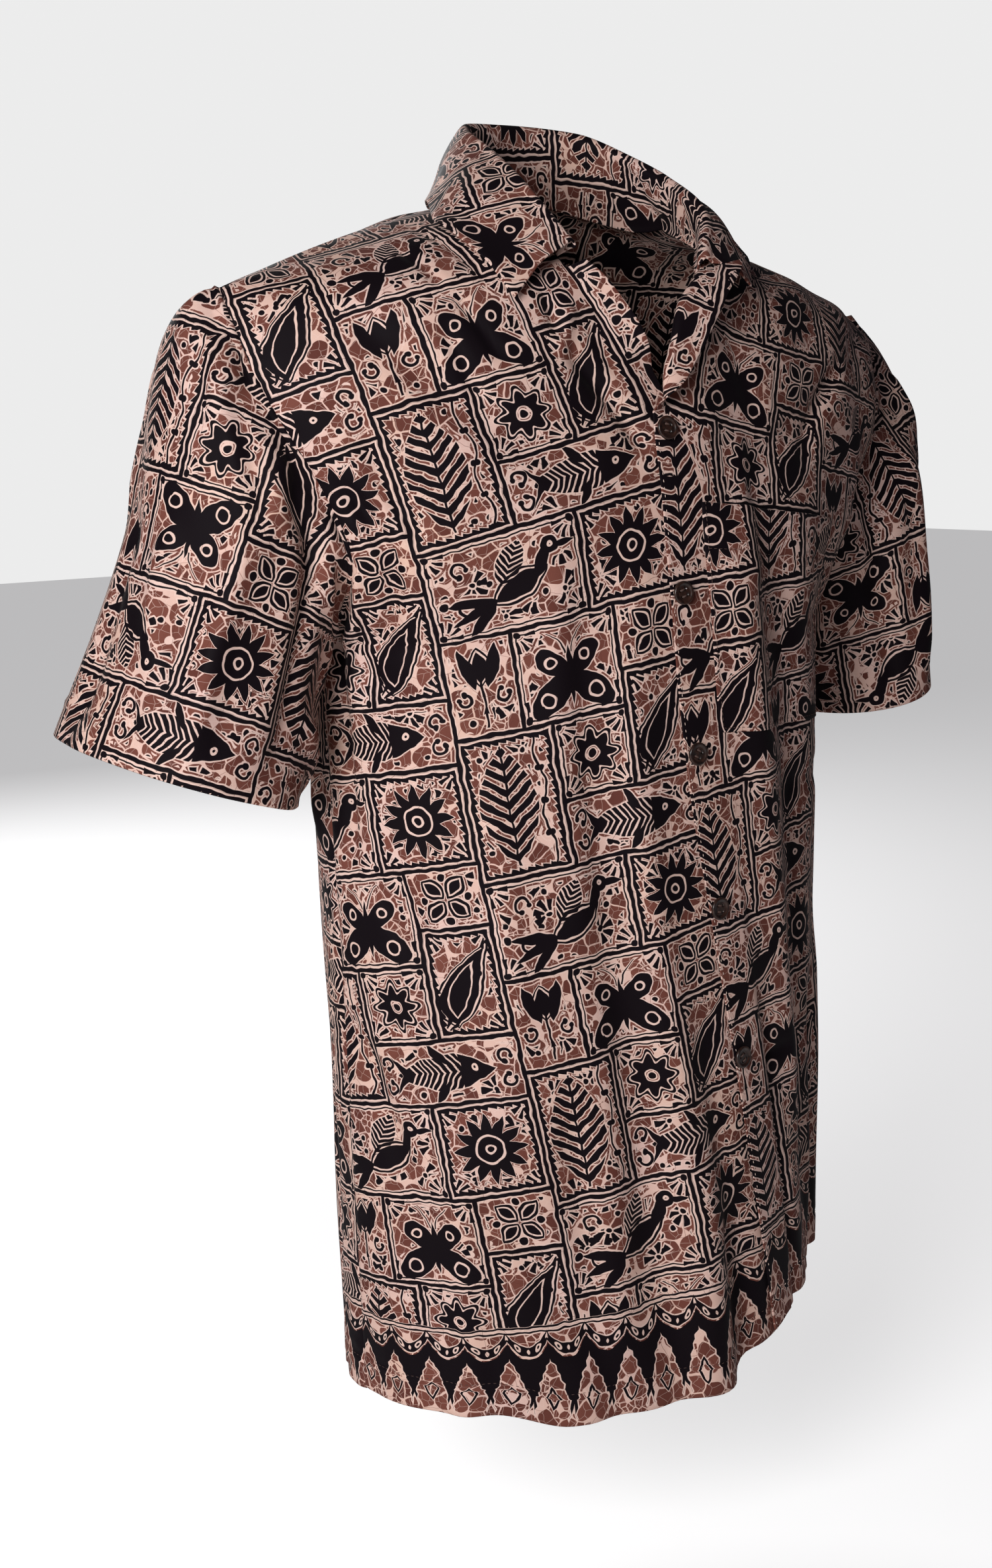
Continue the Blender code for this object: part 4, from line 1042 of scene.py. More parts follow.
# %% Collar
COLLAR_CLOTH = 0.0013
COLLAR_FINE = (170, 42)
COLLAR_TUCK = 0.0045          # its lower edge reaches down inside the neckline
COLLAR_SIZE = (0.46, 0.09)    # cloth width and length that its creases are measured on
COLLAR_SWELL = 0.0006
COLLAR_SWELL_SIZE = 0.05
COLLAR_PLACE = (1.31, 0.52)   # where its cut lies on the printed cloth
COLLAR_STITCH = 0.005         # from its edge, where the gathers are


def refine(grid, counts):
    """A finer grid through the same points, along smooth curves both ways."""
    for axis, count in enumerate(counts):
        grid = np.moveaxis(grid, axis, 0)
        key = np.arange(len(grid))
        at = np.linspace(0, len(grid) - 1, count)
        lines = grid.reshape(len(grid), -1).T
        fine = [Table("key line", list(zip(key, line))).at("line", at) for line in lines]
        grid = np.moveaxis(np.stack(fine, -1).reshape(count, *grid.shape[1:]), 0, axis)
    return grid


def make_collar():
    rise = unit(collar_form[:, 1] - collar_form[:, 0])
    tuck = collar_form[:, 0] - rise * COLLAR_TUCK + normals(collar_form)[:, 0] * CLOTH * 1.5
    grid = refine(np.concatenate([tuck[:, None], collar_form], 1), COLLAR_FINE)
    out = -normals(grid)
    u, v = np.meshgrid(*(np.linspace(0, 1, count) for count in COLLAR_FINE), indexing="ij")
    side, run = lengths(grid, 0), lengths(grid, 1)
    from_edge = np.minimum(np.minimum(run[:, -1:] - run, side), side[-1] - side)
    leaf = smooth(v, 0.5, 0.62)
    height = fold_height(u, v, COLLAR_CREASES, *COLLAR_SIZE)
    height += COLLAR_SWELL * waves(side, run * 0.3, COLLAR_SWELL_SIZE, 51, 0.8) * leaf
    height += gathers(side, from_edge - COLLAR_STITCH, 52) * 0.5 * leaf
    grid = dressed(grid, out, height)
    flat = lay_flat(grid, COLLAR_FINE[0] // 2)
    turned = flat * (1, -1) + COLLAR_PLACE
    piece = cloth_shell("collar_cloth", grid, turned, -1, ("low",), None, COLLAR_CLOTH)
    sheets["collar"] = (piece, flat)


make_collar()

# %% Pocket
POCKET_SHIFT = (0.043, 0.061)
POCKET_PLACE = (0.14, 0.44)   # where its cut lies on the printed cloth
POCKET_OFF = 0.0012           # how far it lies off the front
POCKET_GAPE = 0.0016          # how much further its mouth stands off
POCKET_GAPE_REACH = 0.016
POCKET_HEM = 0.026
POCKET_EDGE = 0.0025          # from its edge, where the stitching sinks in
POCKET_GROOVE = 0.0003


def make_pocket():
    panel = left_grid[FINE_STRIP:]
    share = np.linspace(0, 1, FRONT_COLUMNS + 1)
    low_u, high_u = (column / COARSE_COLUMNS for column in POCKET_COLUMNS)
    low_v, high_v = (PANEL_LINES[line] for line in POCKET_LINES)
    columns = np.flatnonzero((share > low_u - 1e-6) & (share < high_u + 1e-6))
    lines = np.flatnonzero((FINE_LINES > low_v - 1e-6) & (FINE_LINES < high_v + 1e-6))
    grid = panel[np.ix_(columns, lines)]
    out = normals(panel)[np.ix_(columns, lines)]
    side, run = lengths(grid, 0), lengths(grid, 1)
    from_side = np.minimum(side, side[-1] - side)
    from_mouth = run[:, -1:] - run
    across_mouth = np.sin(math.pi * side / side[-1]) ** 2
    height = POCKET_OFF + POCKET_GAPE * across_mouth * np.exp(-(from_mouth / POCKET_GAPE_REACH) ** 2)
    from_edge = np.minimum(from_side, run)
    height -= POCKET_GROOVE * np.exp(-((from_edge - POCKET_EDGE) / 0.0014) ** 2)
    height += gathers(run, from_side, 61) * 0.5 + gathers(side, from_mouth - POCKET_HEM, 62) * 0.4
    height -= POCKET_GROOVE * np.exp(-((from_mouth - POCKET_HEM) / HEM_GROOVE_WIDE) ** 2)
    grid = dressed(grid, out, height)
    flat = lay_flat(grid, len(columns) // 2)
    piece = cloth_shell("pocket_cloth", grid, flat + POCKET_SHIFT + POCKET_PLACE, 1)
    sheets["pocket"] = (piece, flat)
    return grid


pocket_grid = make_pocket()
print("collar and pocket faces:", [len(sheets[n][0].data.polygons) for n in ("collar", "pocket")])

# %% [markdown]
# ## Buttons
#
# A shirt button is turned on a lathe: a flat back, a rounded rim, a dished face and four
# drilled holes.  A boolean would cut the holes, but it leaves long thin faces.  Here the
# face is a polar grid whose points are pushed down where a drill would go.  The thread is
# two strands over each pair of holes.

# %% Buttons
BUTTON_SPOKES = 64
HOLE_RADIUS = 0.00085
HOLE_PLACE = 0.0019
HOLE_DEEP = 0.0014
FACE_RINGS = 0.8              # the holes lie within this step of the turning
FACE_HIGH = 0.66              # height of the dished face, as a share of the thickness
STRAND_RADIUS = 0.00024
STRAND_APART = 0.00022        # half the distance between two strands
STRAND_RISE = 0.0010
STRAND_SUNK = 0.0006          # its ends are this deep in the holes
SPINS = (0.2, -0.35, 0.5, 0.1, -0.6)    # how far each button has turned on its thread
# radius and height of the profile, as shares of the button's radius and thickness
BUTTON_TURNING = Table("step radius height", [
    (0.0, 0.00, 0.66), (0.8, 0.58, 0.66), (1.2, 0.70, 0.80), (1.6, 0.80, 0.99), (2.0, 0.90, 1.00),
    (2.4, 0.98, 0.84), (2.8, 1.00, 0.56), (3.2, 0.96, 0.22), (3.6, 0.84, 0.02), (4.0, 0.70, 0.00),
])
BUTTON_RINGS = np.concatenate([np.linspace(0.02, 0.8, 22), np.linspace(0.86, 4.0, 26)])


def button_mesh():
    """Points and faces of one button on its back, its face up."""
    spokes = np.arange(BUTTON_SPOKES) * 2 * math.pi / BUTTON_SPOKES
    radius = BUTTON_TURNING.at("radius", BUTTON_RINGS)[:, None] * BUTTON_RADIUS
    height = BUTTON_TURNING.at("height", BUTTON_RINGS)[:, None] * BUTTON_THICKNESS
    x, y = radius * np.cos(spokes), radius * np.sin(spokes)
    z = height + 0 * x
    for sx in (-1, 1):
        for sy in (-1, 1):
            away = np.hypot(x - sx * HOLE_PLACE, y - sy * HOLE_PLACE)
            drill = (away < HOLE_RADIUS) & (BUTTON_RINGS[:, None] < FACE_RINGS)
            z = np.where(drill, z - HOLE_DEEP, z)
    points = np.stack([x, y, z], -1).reshape(-1, 3)
    rings = len(BUTTON_RINGS)
    faces = [tuple(range(BUTTON_SPOKES))]
    for ring in range(rings - 1):
        for k in range(BUTTON_SPOKES):
            a, b = ring * BUTTON_SPOKES + k, ring * BUTTON_SPOKES + (k + 1) % BUTTON_SPOKES
            faces.append((a, a + BUTTON_SPOKES, b + BUTTON_SPOKES, b))
    faces.append(tuple(range((rings - 1) * BUTTON_SPOKES, rings * BUTTON_SPOKES))[::-1])
    return points, faces


def bar(start, end, rise, radius, sides=8, steps=9):
    """Points and faces of a thread that arches from start to end."""
    points, faces = [], []
    along = np.array(end) - start
    side = np.cross(along / np.linalg.norm(along), (0, 0, 1.0))
    for step in range(steps):
        t = step / (steps - 1)
        middle = np.array(start) + along * t + np.array([0, 0, rise * math.sin(math.pi * t)])
        for k in range(sides):
            a = 2 * math.pi * k / sides
            around = side * radius * math.cos(a) + np.array([0, 0, radius * math.sin(a)])
            points.append(middle + around)
    for step in range(steps - 1):
        for k in range(sides):
            a, b = step * sides + k, step * sides + (k + 1) % sides
            faces.append((a, b, b + sides, a + sides))
    faces.append(tuple(range(sides))[::-1])
    faces.append(tuple(range((steps - 1) * sides, steps * sides)))
    return np.array(points), faces


def place_on(points, middle, out, spin):
    """Turns points from their own z axis to out, with a spin about it, and moves them."""
    up = np.array([math.sin(spin), 0, math.cos(spin)])
    up -= out * up.dot(out)
    up /= np.linalg.norm(up)
    return middle + points @ np.array([np.cross(up, out), up, out])


def make_buttons():
    body, body_faces = button_mesh()
    panel = left_grid[FINE_STRIP:]
    out_lines = normals(left_form[STRIP_COLUMNS:])[0]
    made = []
    for number, (v, spin) in enumerate(zip(BUTTON_V, SPINS), 1):
        middle = np.array([np.interp(v, FINE_LINES, panel[0, :, axis]) for axis in range(3)])
        out = np.array([np.interp(v, PANEL_LINES, out_lines[:, axis]) for axis in range(3)])
        out /= np.linalg.norm(out)
        aside = panel[0, len(FINE_LINES) // 2] - panel[1, len(FINE_LINES) // 2]
        aside /= np.linalg.norm(aside)
        middle += out * BUTTON_LIFT + aside * BUTTON_ASIDE
        button = mesh_piece(f"button_{number}_turned", place_on(body, middle, out, spin),
                            body_faces)
        ends = BUTTON_THICKNESS * FACE_HIGH - STRAND_SUNK
        points, faces = [], []
        for sy in (-1, 1):
            for shift in (-STRAND_APART, STRAND_APART):
                y = sy * HOLE_PLACE + shift
                one, more = bar((-HOLE_PLACE, y, ends), (HOLE_PLACE, y, ends), STRAND_RISE,
                                STRAND_RADIUS)
                first = sum(map(len, points))
                points.append(one)
                faces += [tuple(p + first for p in face) for face in more]
        strands = place_on(np.concatenate(points), middle, out, spin)
        thread = mesh_piece(f"thread_{number}", strands, faces)
        made.append((button, thread))
    return made


buttons = make_buttons()
print("buttons:", len(buttons), "faces each:", len(buttons[0][0].data.polygons))

# %% [markdown]
# ## Stitches
#
# A line of stitching is one small shape that repeats along a path, which is what Geometry
# Nodes do best.  The tree takes a curve that lies on the cloth, puts a point at every
# stitch, turns a small bead of thread along it and scales it.  Pitch, length and width are
# named inputs, so each seam can have its own.  The result is made a plain mesh.

# %% Tree for stitches
def stitch_tree(thread_material):
    tree = bpy.data.node_groups.new("stitches", "GeometryNodeTree")
    face = tree.interface
    face.new_socket("Path", in_out="INPUT", socket_type="NodeSocketGeometry")
    for name, value in (("Pitch", 0.003), ("Length", 0.002), ("Width", 0.0005),
                        ("Wander", 0.12)):
        socket = face.new_socket(name, in_out="INPUT", socket_type="NodeSocketFloat")
        socket.default_value = value
    face.new_socket("Seed", in_out="INPUT", socket_type="NodeSocketInt").default_value = 7
    face.new_socket("Stitches", in_out="OUTPUT", socket_type="NodeSocketGeometry")

    def node(kind, **values):
        made = tree.nodes.new(kind)
        for name, value in values.items():
            setattr(made, name, value)
        return made

    start, end = node("NodeGroupInput"), node("NodeGroupOutput")
    points = node("GeometryNodeCurveToPoints", mode="LENGTH")
    bead = node("GeometryNodeMeshUVSphere")
    bead.inputs["Segments"].default_value = 6
    bead.inputs["Rings"].default_value = 4
    bead.inputs["Radius"].default_value = 0.5
    size = node("ShaderNodeCombineXYZ")
    turn = node("FunctionNodeRandomValue", data_type="FLOAT")
    back = node("ShaderNodeMath", operation="MULTIPLY")
    back.inputs[1].default_value = -1
    tilt = node("ShaderNodeCombineXYZ")
    spin = node("FunctionNodeRotateRotation", rotation_space="LOCAL")
    copies = node("GeometryNodeInstanceOnPoints")
    solid = node("GeometryNodeRealizeInstances")
    finish = node("GeometryNodeSetMaterial")
    finish.inputs["Material"].default_value = thread_material
    for one, out_name, other, in_name in (
            (start, "Path", points, "Curve"), (start, "Pitch", points, "Length"),
            (start, "Width", size, "X"), (start, "Width", size, "Y"),
            (start, "Length", size, "Z"), (start, "Wander", turn, "Max"),
            (start, "Wander", back, 0), (back, 0, turn, "Min"), (start, "Seed", turn, "Seed"),
            (turn, "Value", tilt, "X"), (points, "Points", copies, "Points"),
            (bead, "Mesh", copies, "Instance"), (points, "Rotation", spin, "Rotation"),
            (tilt, 0, spin, "Rotate By"), (spin, "Rotation", copies, "Rotation"),
            (size, 0, copies, "Scale"), (copies, "Instances", solid, "Geometry"),
            (solid, "Geometry", finish, "Geometry"), (finish, "Geometry", end, "Stitches")):
        tree.links.new(one.outputs[out_name], other.inputs[in_name])
    return tree


def sew(name, paths, tree, **settings):
    """Runs the tree along paths of points and returns the stitches as a plain mesh."""
    curve = bpy.data.curves.new(name + "_path", "CURVE")
    curve.dimensions = "3D"
    for path in paths:
        spline = curve.splines.new("POLY")
        spline.points.add(len(path) - 1)
        spline.points.foreach_set("co", np.c_[path, np.ones(len(path))].ravel())
    carrier = placed(name + "_path", curve)
    modifier = carrier.modifiers.new("stitches", "NODES")
    modifier.node_group = tree
    sockets = {item.name: item.identifier for item in tree.interface.items_tree
               if item.in_out == "INPUT"}
    for key, value in settings.items():
        modifier[sockets[key]] = value
    carrier.update_tag()
    graph = bpy.context.evaluated_depsgraph_get()
    mesh = bpy.data.meshes.new_from_object(carrier.evaluated_get(graph), depsgraph=graph)
    mesh.name = name
    bpy.data.objects.remove(carrier)
    return placed(name, mesh)


def material(name, **values):
    """A new material and its shader; an underscore in a name stands for a space."""
    made = bpy.data.materials.new(name)
    made.use_nodes = True
    shader = made.node_tree.nodes["Principled BSDF"]
    for key, value in values.items():
        shader.inputs[key.replace("_", " ")].default_value = value
    return made, shader


thread_brown, _ = material("thread_brown", Base_Color=(0.075, 0.04, 0.032, 1), Roughness=0.7)
thread_cream, _ = material("thread_cream", Base_Color=(0.62, 0.47, 0.40, 1), Roughness=0.7)
tree = stitch_tree(thread_cream)


def inset_line(grid, out, axis, line, inset):
    """A line on the grid at a set distance inside one of its edges."""
    grid, out = (np.moveaxis(a, axis, 0) for a in (grid, out))
    if line < 0:
        grid, out = grid[::-1], out[::-1]
    run = lengths(grid, 0)
    path = np.empty_like(grid[0])
    for j in range(grid.shape[1]):
        for k in range(3):
            path[j, k] = np.interp(inset, run[:, j], grid[:, j, k] + out[:, j, k] * STITCH_LIFT)
    return path


STITCH_LIFT = 0.0002          # how far a path lies above the cloth
EDGE_STITCH = 0.0016          # from the left front's edge
EDGE_STITCH_TOP = 0.815       # v where that line ends, below the roll of the lapel
POCKET_STITCH = 0.0022        # from the pocket's edge
notch = (FINE_STRIP, FINE_NOTCH)
left_out = wall_normals(left_grid, notch)
right_out = -wall_normals(right_grid, notch)
back_out = -normals(back_grid)
below_roll = np.searchsorted(FINE_LINES, EDGE_STITCH_TOP)
edge_path = inset_line(left_grid, left_out, 0, 0, EDGE_STITCH)[:below_roll]
hem_paths = {
    "front_left": [edge_path, inset_line(left_grid, left_out, 1, 0, HEM_DEEP)[1:-1]],
    "front_right": [inset_line(right_grid, right_out, 1, 0, HEM_DEEP)[1:-1]],
    "back": [inset_line(back_grid, back_out, 1, 0, HEM_DEEP)[1:-1]],
}
pocket_out = normals(pocket_grid)
first, bottom, last = (inset_line(pocket_grid, pocket_out, axis, line, POCKET_STITCH)
                       for axis, line in ((0, 0), (1, 0), (0, -1)))
hem_paths["pocket"] = [
    np.concatenate([first[::-1][:-1], bottom[1:-1], last[1:]]),
    inset_line(pocket_grid, pocket_out, 1, -1, POCKET_HEM)[1:-1],
]
for name, hand in SLEEVES:
    grid = sleeve_grids[name]
    hem_paths[name] = [inset_line(grid, -normals(grid) * hand, 1, -1, HEM_DEEP)[1:-1]]
# pitch, length and width of the stitches
SEWING = {"front_left": (0.0042, 0.0017, 0.00042), "pocket": (0.0032, 0.0022, 0.0004)}
PLAIN_SEWING = (0.0034, 0.0020, 0.00036)
stitches = {}
for number, (name, paths) in enumerate(hem_paths.items()):
    pitch, length, width = SEWING.get(name, PLAIN_SEWING)
    stitches[name] = sew("stitches_" + name, paths, tree, Pitch=pitch, Length=length, Width=width,
                         Wander=0.10, Seed=number)
print("stitches:", {name: len(piece.data.polygons) // 24 for name, piece in stitches.items()})

# %% [markdown]
# ## Shader maths as expressions
#
# The print is worked out by nodes, and a few hundred Math nodes are hard to read when they
# are wired by hand.  The class below wraps one socket.  Its operators add the Math nodes,
# so a line of Python reads like the formula that it builds.  An image would be quicker,
# but it has a fixed sharpness, and this pattern stays crisp at any distance.

# %% Fields over the cloth
class Field:
    """A number or a vector that changes over the cloth: an output socket with operators."""

    nodes = None

    def __init__(self, socket):
        self.socket = socket

    @classmethod
    def node(cls, kind, settings=None, sockets=None, output=0):
        """Adds a node of any type; its settings come before its sockets."""
        made = cls.nodes.nodes.new(kind)
        for name, value in (settings or {}).items():
            setattr(made, name, value)
        for key, value in (sockets or {}).items():
            if isinstance(value, Field):
                cls.nodes.links.new(value.socket, made.inputs[key])
            else:
                made.inputs[key].default_value = value
        return Field(made.outputs[output])

    def also(self, output):
        """Another output of the same node."""
        return Field(self.socket.node.outputs[output])

    def maths(self, operation, *others):
        return Field.node("ShaderNodeMath", {"operation": operation}, dict(enumerate((self, *others))))

    def __add__(self, other):
        return self.maths("ADD", other)

    __radd__ = __add__

    def __sub__(self, other):
        return self.maths("SUBTRACT", other)

    def __rsub__(self, other):
        return Field.node("ShaderNodeMath", {"operation": "SUBTRACT"}, {0: other, 1: self})

    def __mul__(self, other):
        return self.maths("MULTIPLY", other)

    __rmul__ = __mul__

    def __truediv__(self, other):
        return self.maths("DIVIDE", other)

    def __abs__(self):
        return self.maths("ABSOLUTE")

    def __neg__(self):
        return self * -1.0

    def __gt__(self, other):
        return self.maths("GREATER_THAN", other)

    def __lt__(self, other):
        return self.maths("LESS_THAN", other)

    def least(self, other):
        return self.maths("MINIMUM", other)

    def most(self, other):
        return self.maths("MAXIMUM", other)

    def wrap(self, half):
        return self.maths("WRAP", half, -half)

    def bounce(self, size):
        return self.maths("PINGPONG", size)

    def soft(self, low, high):
        """From 0 at low to 1 at high."""
        return Field.node("ShaderNodeMapRange", {}, {0: self, 1: low, 2: high})


def vector(x, y):
    return Field.node("ShaderNodeCombineXYZ", {}, {0: x, 1: y})


def reach(x, y):
    return Field.node("ShaderNodeVectorMath", {"operation": "LENGTH"}, {0: vector(x, y)}, "Value")


def part(place, axis="X"):
    """One number of a vector or a colour."""
    return Field.node("ShaderNodeSeparateXYZ", {}, {0: place}, axis)


def vector_maths(operation, one, other):
    return Field.node("ShaderNodeVectorMath", {"operation": operation}, {0: one, 1: other})


def scaled(place, scale):
    return Field.node("ShaderNodeVectorMath", {"operation": "SCALE"}, {0: place, "Scale": scale})


def feed(shader, **values):
    """Joins fields to a shader; an underscore in a name stands for a space."""
    for key, value in values.items():
        Field.nodes.links.new(value.socket, shader.inputs[key.replace("_", " ")])


def colour_mix(share, one, other):
    return Field.node("ShaderNodeMix", {"data_type": "RGBA"}, {0: share, 6: one, 7: other}, 2)


def number_mix(share, one, other):
    return Field.node("ShaderNodeMix", {"data_type": "FLOAT"}, {0: share, 2: one, 3: other})


def cells(place, size, feature="F1", randomness=1.0, output="Distance"):
    settings = {"voronoi_dimensions": "2D", "feature": feature}
    sockets = {"Vector": place, "Scale": 1 / size, "Randomness": randomness}
    return Field.node("ShaderNodeTexVoronoi", settings, sockets, output)


def cloud(place, size, detail=1.0, output="Fac"):
    sockets = {"Vector": place, "Scale": 1 / size, "Detail": detail}
    return Field.node("ShaderNodeTexNoise", {"noise_dimensions": "2D"}, sockets, output)


# %% [markdown]
# ## Motifs
#
# Batik is drawn in hot wax, so its ground is cracked into pebbles and its figures are solid
# with a pale line round them.  Each motif below is a distance in millimetres: negative
# inside, positive outside.  Distances are handy, because the same number gives the figure,
# the pale line round it and the line inside it.  They are common motifs of leaf, flower,
# fish and star, set in a patchwork of frames.

# %% Motifs as distances
def leaf(x, y, half_width, half_length):
    """A pointed leaf along y."""
    return abs(x) + y * y * (half_width / half_length ** 2) - half_width


def disc(x, y, radius):
    return reach(x, y) - radius


def turned(x, y, degrees):
    c, s = math.cos(math.radians(degrees)), math.sin(math.radians(degrees))
    return x * c + y * s, y * c - x * s


def with_line(shape, depth, half=0.45):
    """The same shape with a pale line inside it, at a depth below its edge."""
    return shape.most(half - abs(shape + depth))


def fern(x, y, half_width, half_length, pitch):
    """Leaflets both ways from a stem."""
    side = abs(x)
    leaflets = (y - side * 0.8).bounce(pitch) - pitch * 0.62
    outline = leaf(x, y, half_width, half_length)
    return leaflets.most(outline).least((side - 0.8).most(abs(y) - half_length))


def flower(x, y, radius, petals, cut):
    """Round petals with a pale line in them, about a pale eye."""
    distance = reach(x, y)
    angle = y.maths("ARCTAN2", x)
    ring = with_line(distance - (angle * petals).maths("COSINE") * cut - (radius - cut), 2.6)
    return ring.most(radius * 0.26 - distance).least(distance - radius * 0.15)


def rays(x, y, radius, points):
    """A star with two rings in its middle."""
    distance = reach(x, y)
    angle = y.maths("ARCTAN2", x)
    teeth = (angle + math.pi).bounce(math.pi / points)
    star = distance + teeth * (radius * 0.42 * points / math.pi) - radius
    rings = (distance - radius * 0.12).bounce(radius * 0.13) - 0.5
    return star.most(-rings.most(distance - radius * 0.45))


def paisley(x, y, half_width, half_length):
    """A drop with its tip bent over, two pale lines inside it and a bead."""
    bent = x - (y + half_length) * (y + half_length) * (0.30 / half_length)
    width = (1 - (y / half_length) * (y / half_length)) * half_width * (1 - y / (half_length * 1.7))
    drop = abs(bent + half_width * 0.5) - width
    bead = disc(x - half_width * 0.9, y - half_length * 0.2, 2.0)
    return with_line(with_line(drop, 2.3), 5.4, 0.4).least(bead)


def four_leaves(x, y, radius):
    """Four leaves that meet in a cross, with dots between them."""
    u, w = turned(abs(x), abs(y), 45)
    petal = with_line(leaf(w, u - radius * 0.56, radius * 0.36, radius * 0.50), 2.6, 0.4)
    near, far = abs(x).least(abs(y)), abs(x).most(abs(y))
    return petal.least(disc(far - radius * 0.80, near, radius * 0.15))


def butterfly(x, y, size):
    """Two pairs of wings with eyes in them, a body and feelers."""
    side = abs(x)
    a, b = turned(side, y, -38)
    upper = reach((a - size * 0.50) * 0.62, b * 1.25) - size * 0.32
    upper = upper.most(0.5 - abs(reach(a - size * 0.62, b) - size * 0.13))
    c, d = turned(side, y, 40)
    lower = reach((c - size * 0.42) * 0.80, d * 1.35) - size * 0.28
    lower = lower.most(0.45 - abs(reach(c - size * 0.46, d) - size * 0.09))
    body = leaf(x, y, size * 0.085, size * 0.56)
    curl = side - (y - size * 0.4) * (y - size * 0.4) * (1.6 / size) - size * 0.06
    feeler = (abs(curl) - 0.6).most(abs(y - size * 0.62) - size * 0.22)
    return upper.least(lower).least(body).least(feeler)


def fish(x, y, half_width, half_length):
    """A fish with a scaled body, an eye, a forked tail and two fins."""
    body = leaf(y, x, half_width, half_length)
    scales = (0.45 - abs((x + abs(y) * 0.7).wrap(1.9))).least(half_length * 0.28 - x)
    eye = 0.55 - abs(reach(x - half_length * 0.60, y - half_width * 0.12) - 1.5)
    behind = -x - half_length * 0.66
    tail = (abs(y) - behind * 0.95).most(behind - half_length * 0.22 - abs(y) * 0.5)
    fin_x, fin_y = turned(x + half_length * 0.10, abs(y) - half_width * 1.05, 35)
    fins = leaf(fin_x, fin_y, 2.6, half_width * 0.80)
    return body.most(scales).most(eye).least(tail).least(fins)


def tulip(x, y, half_width, half_length):
    """A cup of three petals on a stem with two leaves."""
    top = y - half_length * 0.45
    side = abs(x)
    cup = with_line(leaf(x, top, half_width * 0.42, half_length * 0.46), 2.2)
    petal = leaf(side - top * 0.28 - half_width * 0.42, top, half_width * 0.26, half_length * 0.50)
    stem = (side - 0.9).most(abs(y + half_length * 0.40) - half_length * 0.56)
    a, b = turned(side, y + half_length * 0.66, 42)
    blade = leaf(a - 1.5, b - half_length * 0.36, half_width * 0.22, half_length * 0.40)
    return cup.least(petal).least(stem).least(blade)


def bird(x, y, size):
    """A bird with a raised wing and three tail plumes."""
    a, b = turned(x - size * 0.06, y + size * 0.08, 24)
    body = with_line(leaf(b, a, size * 0.25, size * 0.52), 2.4)
    a, b = turned(x - size * 0.46, y - size * 0.22, 62)
    neck = leaf(b, a, size * 0.10, size * 0.34)
    head = disc(x - size * 0.60, y - size * 0.42, size * 0.14)
    beak = leaf(y - size * 0.40, x - size * 0.80, size * 0.055, size * 0.20)
    eye = 0.5 - abs(reach(x - size * 0.61, y - size * 0.43) - 1.0)
    a, b = turned(x + size * 0.02, y - size * 0.30, -30)
    wing = leaf(a, b, size * 0.20, size * 0.40).most(0.4 - abs((b - abs(a) * 0.8).wrap(1.7)))
    a, b = turned(x + size * 0.30, y + size * 0.22, 200)
    middle = leaf(b, a - size * 0.38, size * 0.08, size * 0.42)
    a, b = turned(a, abs(b), 27)
    outer = leaf(b, a - size * 0.36, size * 0.09, size * 0.40)
    tips = disc(a - size * 0.80, b, size * 0.07)
    shape = body.least(neck).least(head).least(beak).most(eye).least(wing)
    return shape.least(middle).least(outer).least(tips)


def corner_fans(inside_x, inside_y):
    """A fan of short petals in each corner of a frame."""
    distance = reach(inside_x - 3.5, inside_y - 3.5)
    angle = (inside_y - 3.5).maths("ARCTAN2", inside_x - 3.5)
    petals = angle.bounce(0.26) * distance - distance * 0.16 + 0.1
    return petals.most(abs(distance - 7.6) - 3.4).least(distance - 2.2)


def vine(x, y, swing, pitch):
    """A waving stem with berries in its bends."""
    wave = (y / pitch).maths("SINE") * swing
    berries = disc(abs(x) - swing * 0.4, y.wrap(pitch * math.pi / 2), 1.9)
    return (abs(x - wave) - 0.85).least(berries)


def curl(x, y, radius):
    """Three quarters of a ring with a bead at each end."""
    ring = (abs(reach(x, y) - radius) - 1.05).most(x.least(-y))
    return ring.least(disc(x - radius, y + 0.5, 1.7)).least(disc(x + 0.5, y + radius, 1.9))


def sprigs(place, size):
    """Small fans of petals, strewn and turned at random."""
    spot = cells(place, size, "F1", 0.7, "Position")
    tint = part(spot.also("Color"))
    local = vector_maths("SUBTRACT", place, spot)
    local = Field.node("ShaderNodeVectorRotate", {"rotation_type": "Z_AXIS"},
                       {"Vector": local, "Angle": tint * 6.28})
    x = part(local)
    y = x.also("Y")
    distance = reach(x, y)
    angle = y.maths("ARCTAN2", x)
    petals = angle.bounce(0.38) * distance - distance * 0.23 - 0.25
    petals = petals.most(abs(distance - 6.0) - 3.6)
    return petals.most((abs(angle) - 1.9) * distance).least(distance - 1.7)


# %% [markdown]
# ## The patchwork and its border
#
# The patchwork repeats every fifteen by twenty centimetres, as a hand-made stamp would, and
# each column of repeats is dropped against its neighbour.  A table gives each frame its
# corners.  The nearest frame line is simply the greatest of the depths inside the frames.
# Along the hem runs the classic border of pointed tumpal, lace and double lines.

# %% Print
REPEAT = (148.0, 198.0)
DROP = 71.0
LINE = 1.40                   # half width of the main frame lines, in millimetres
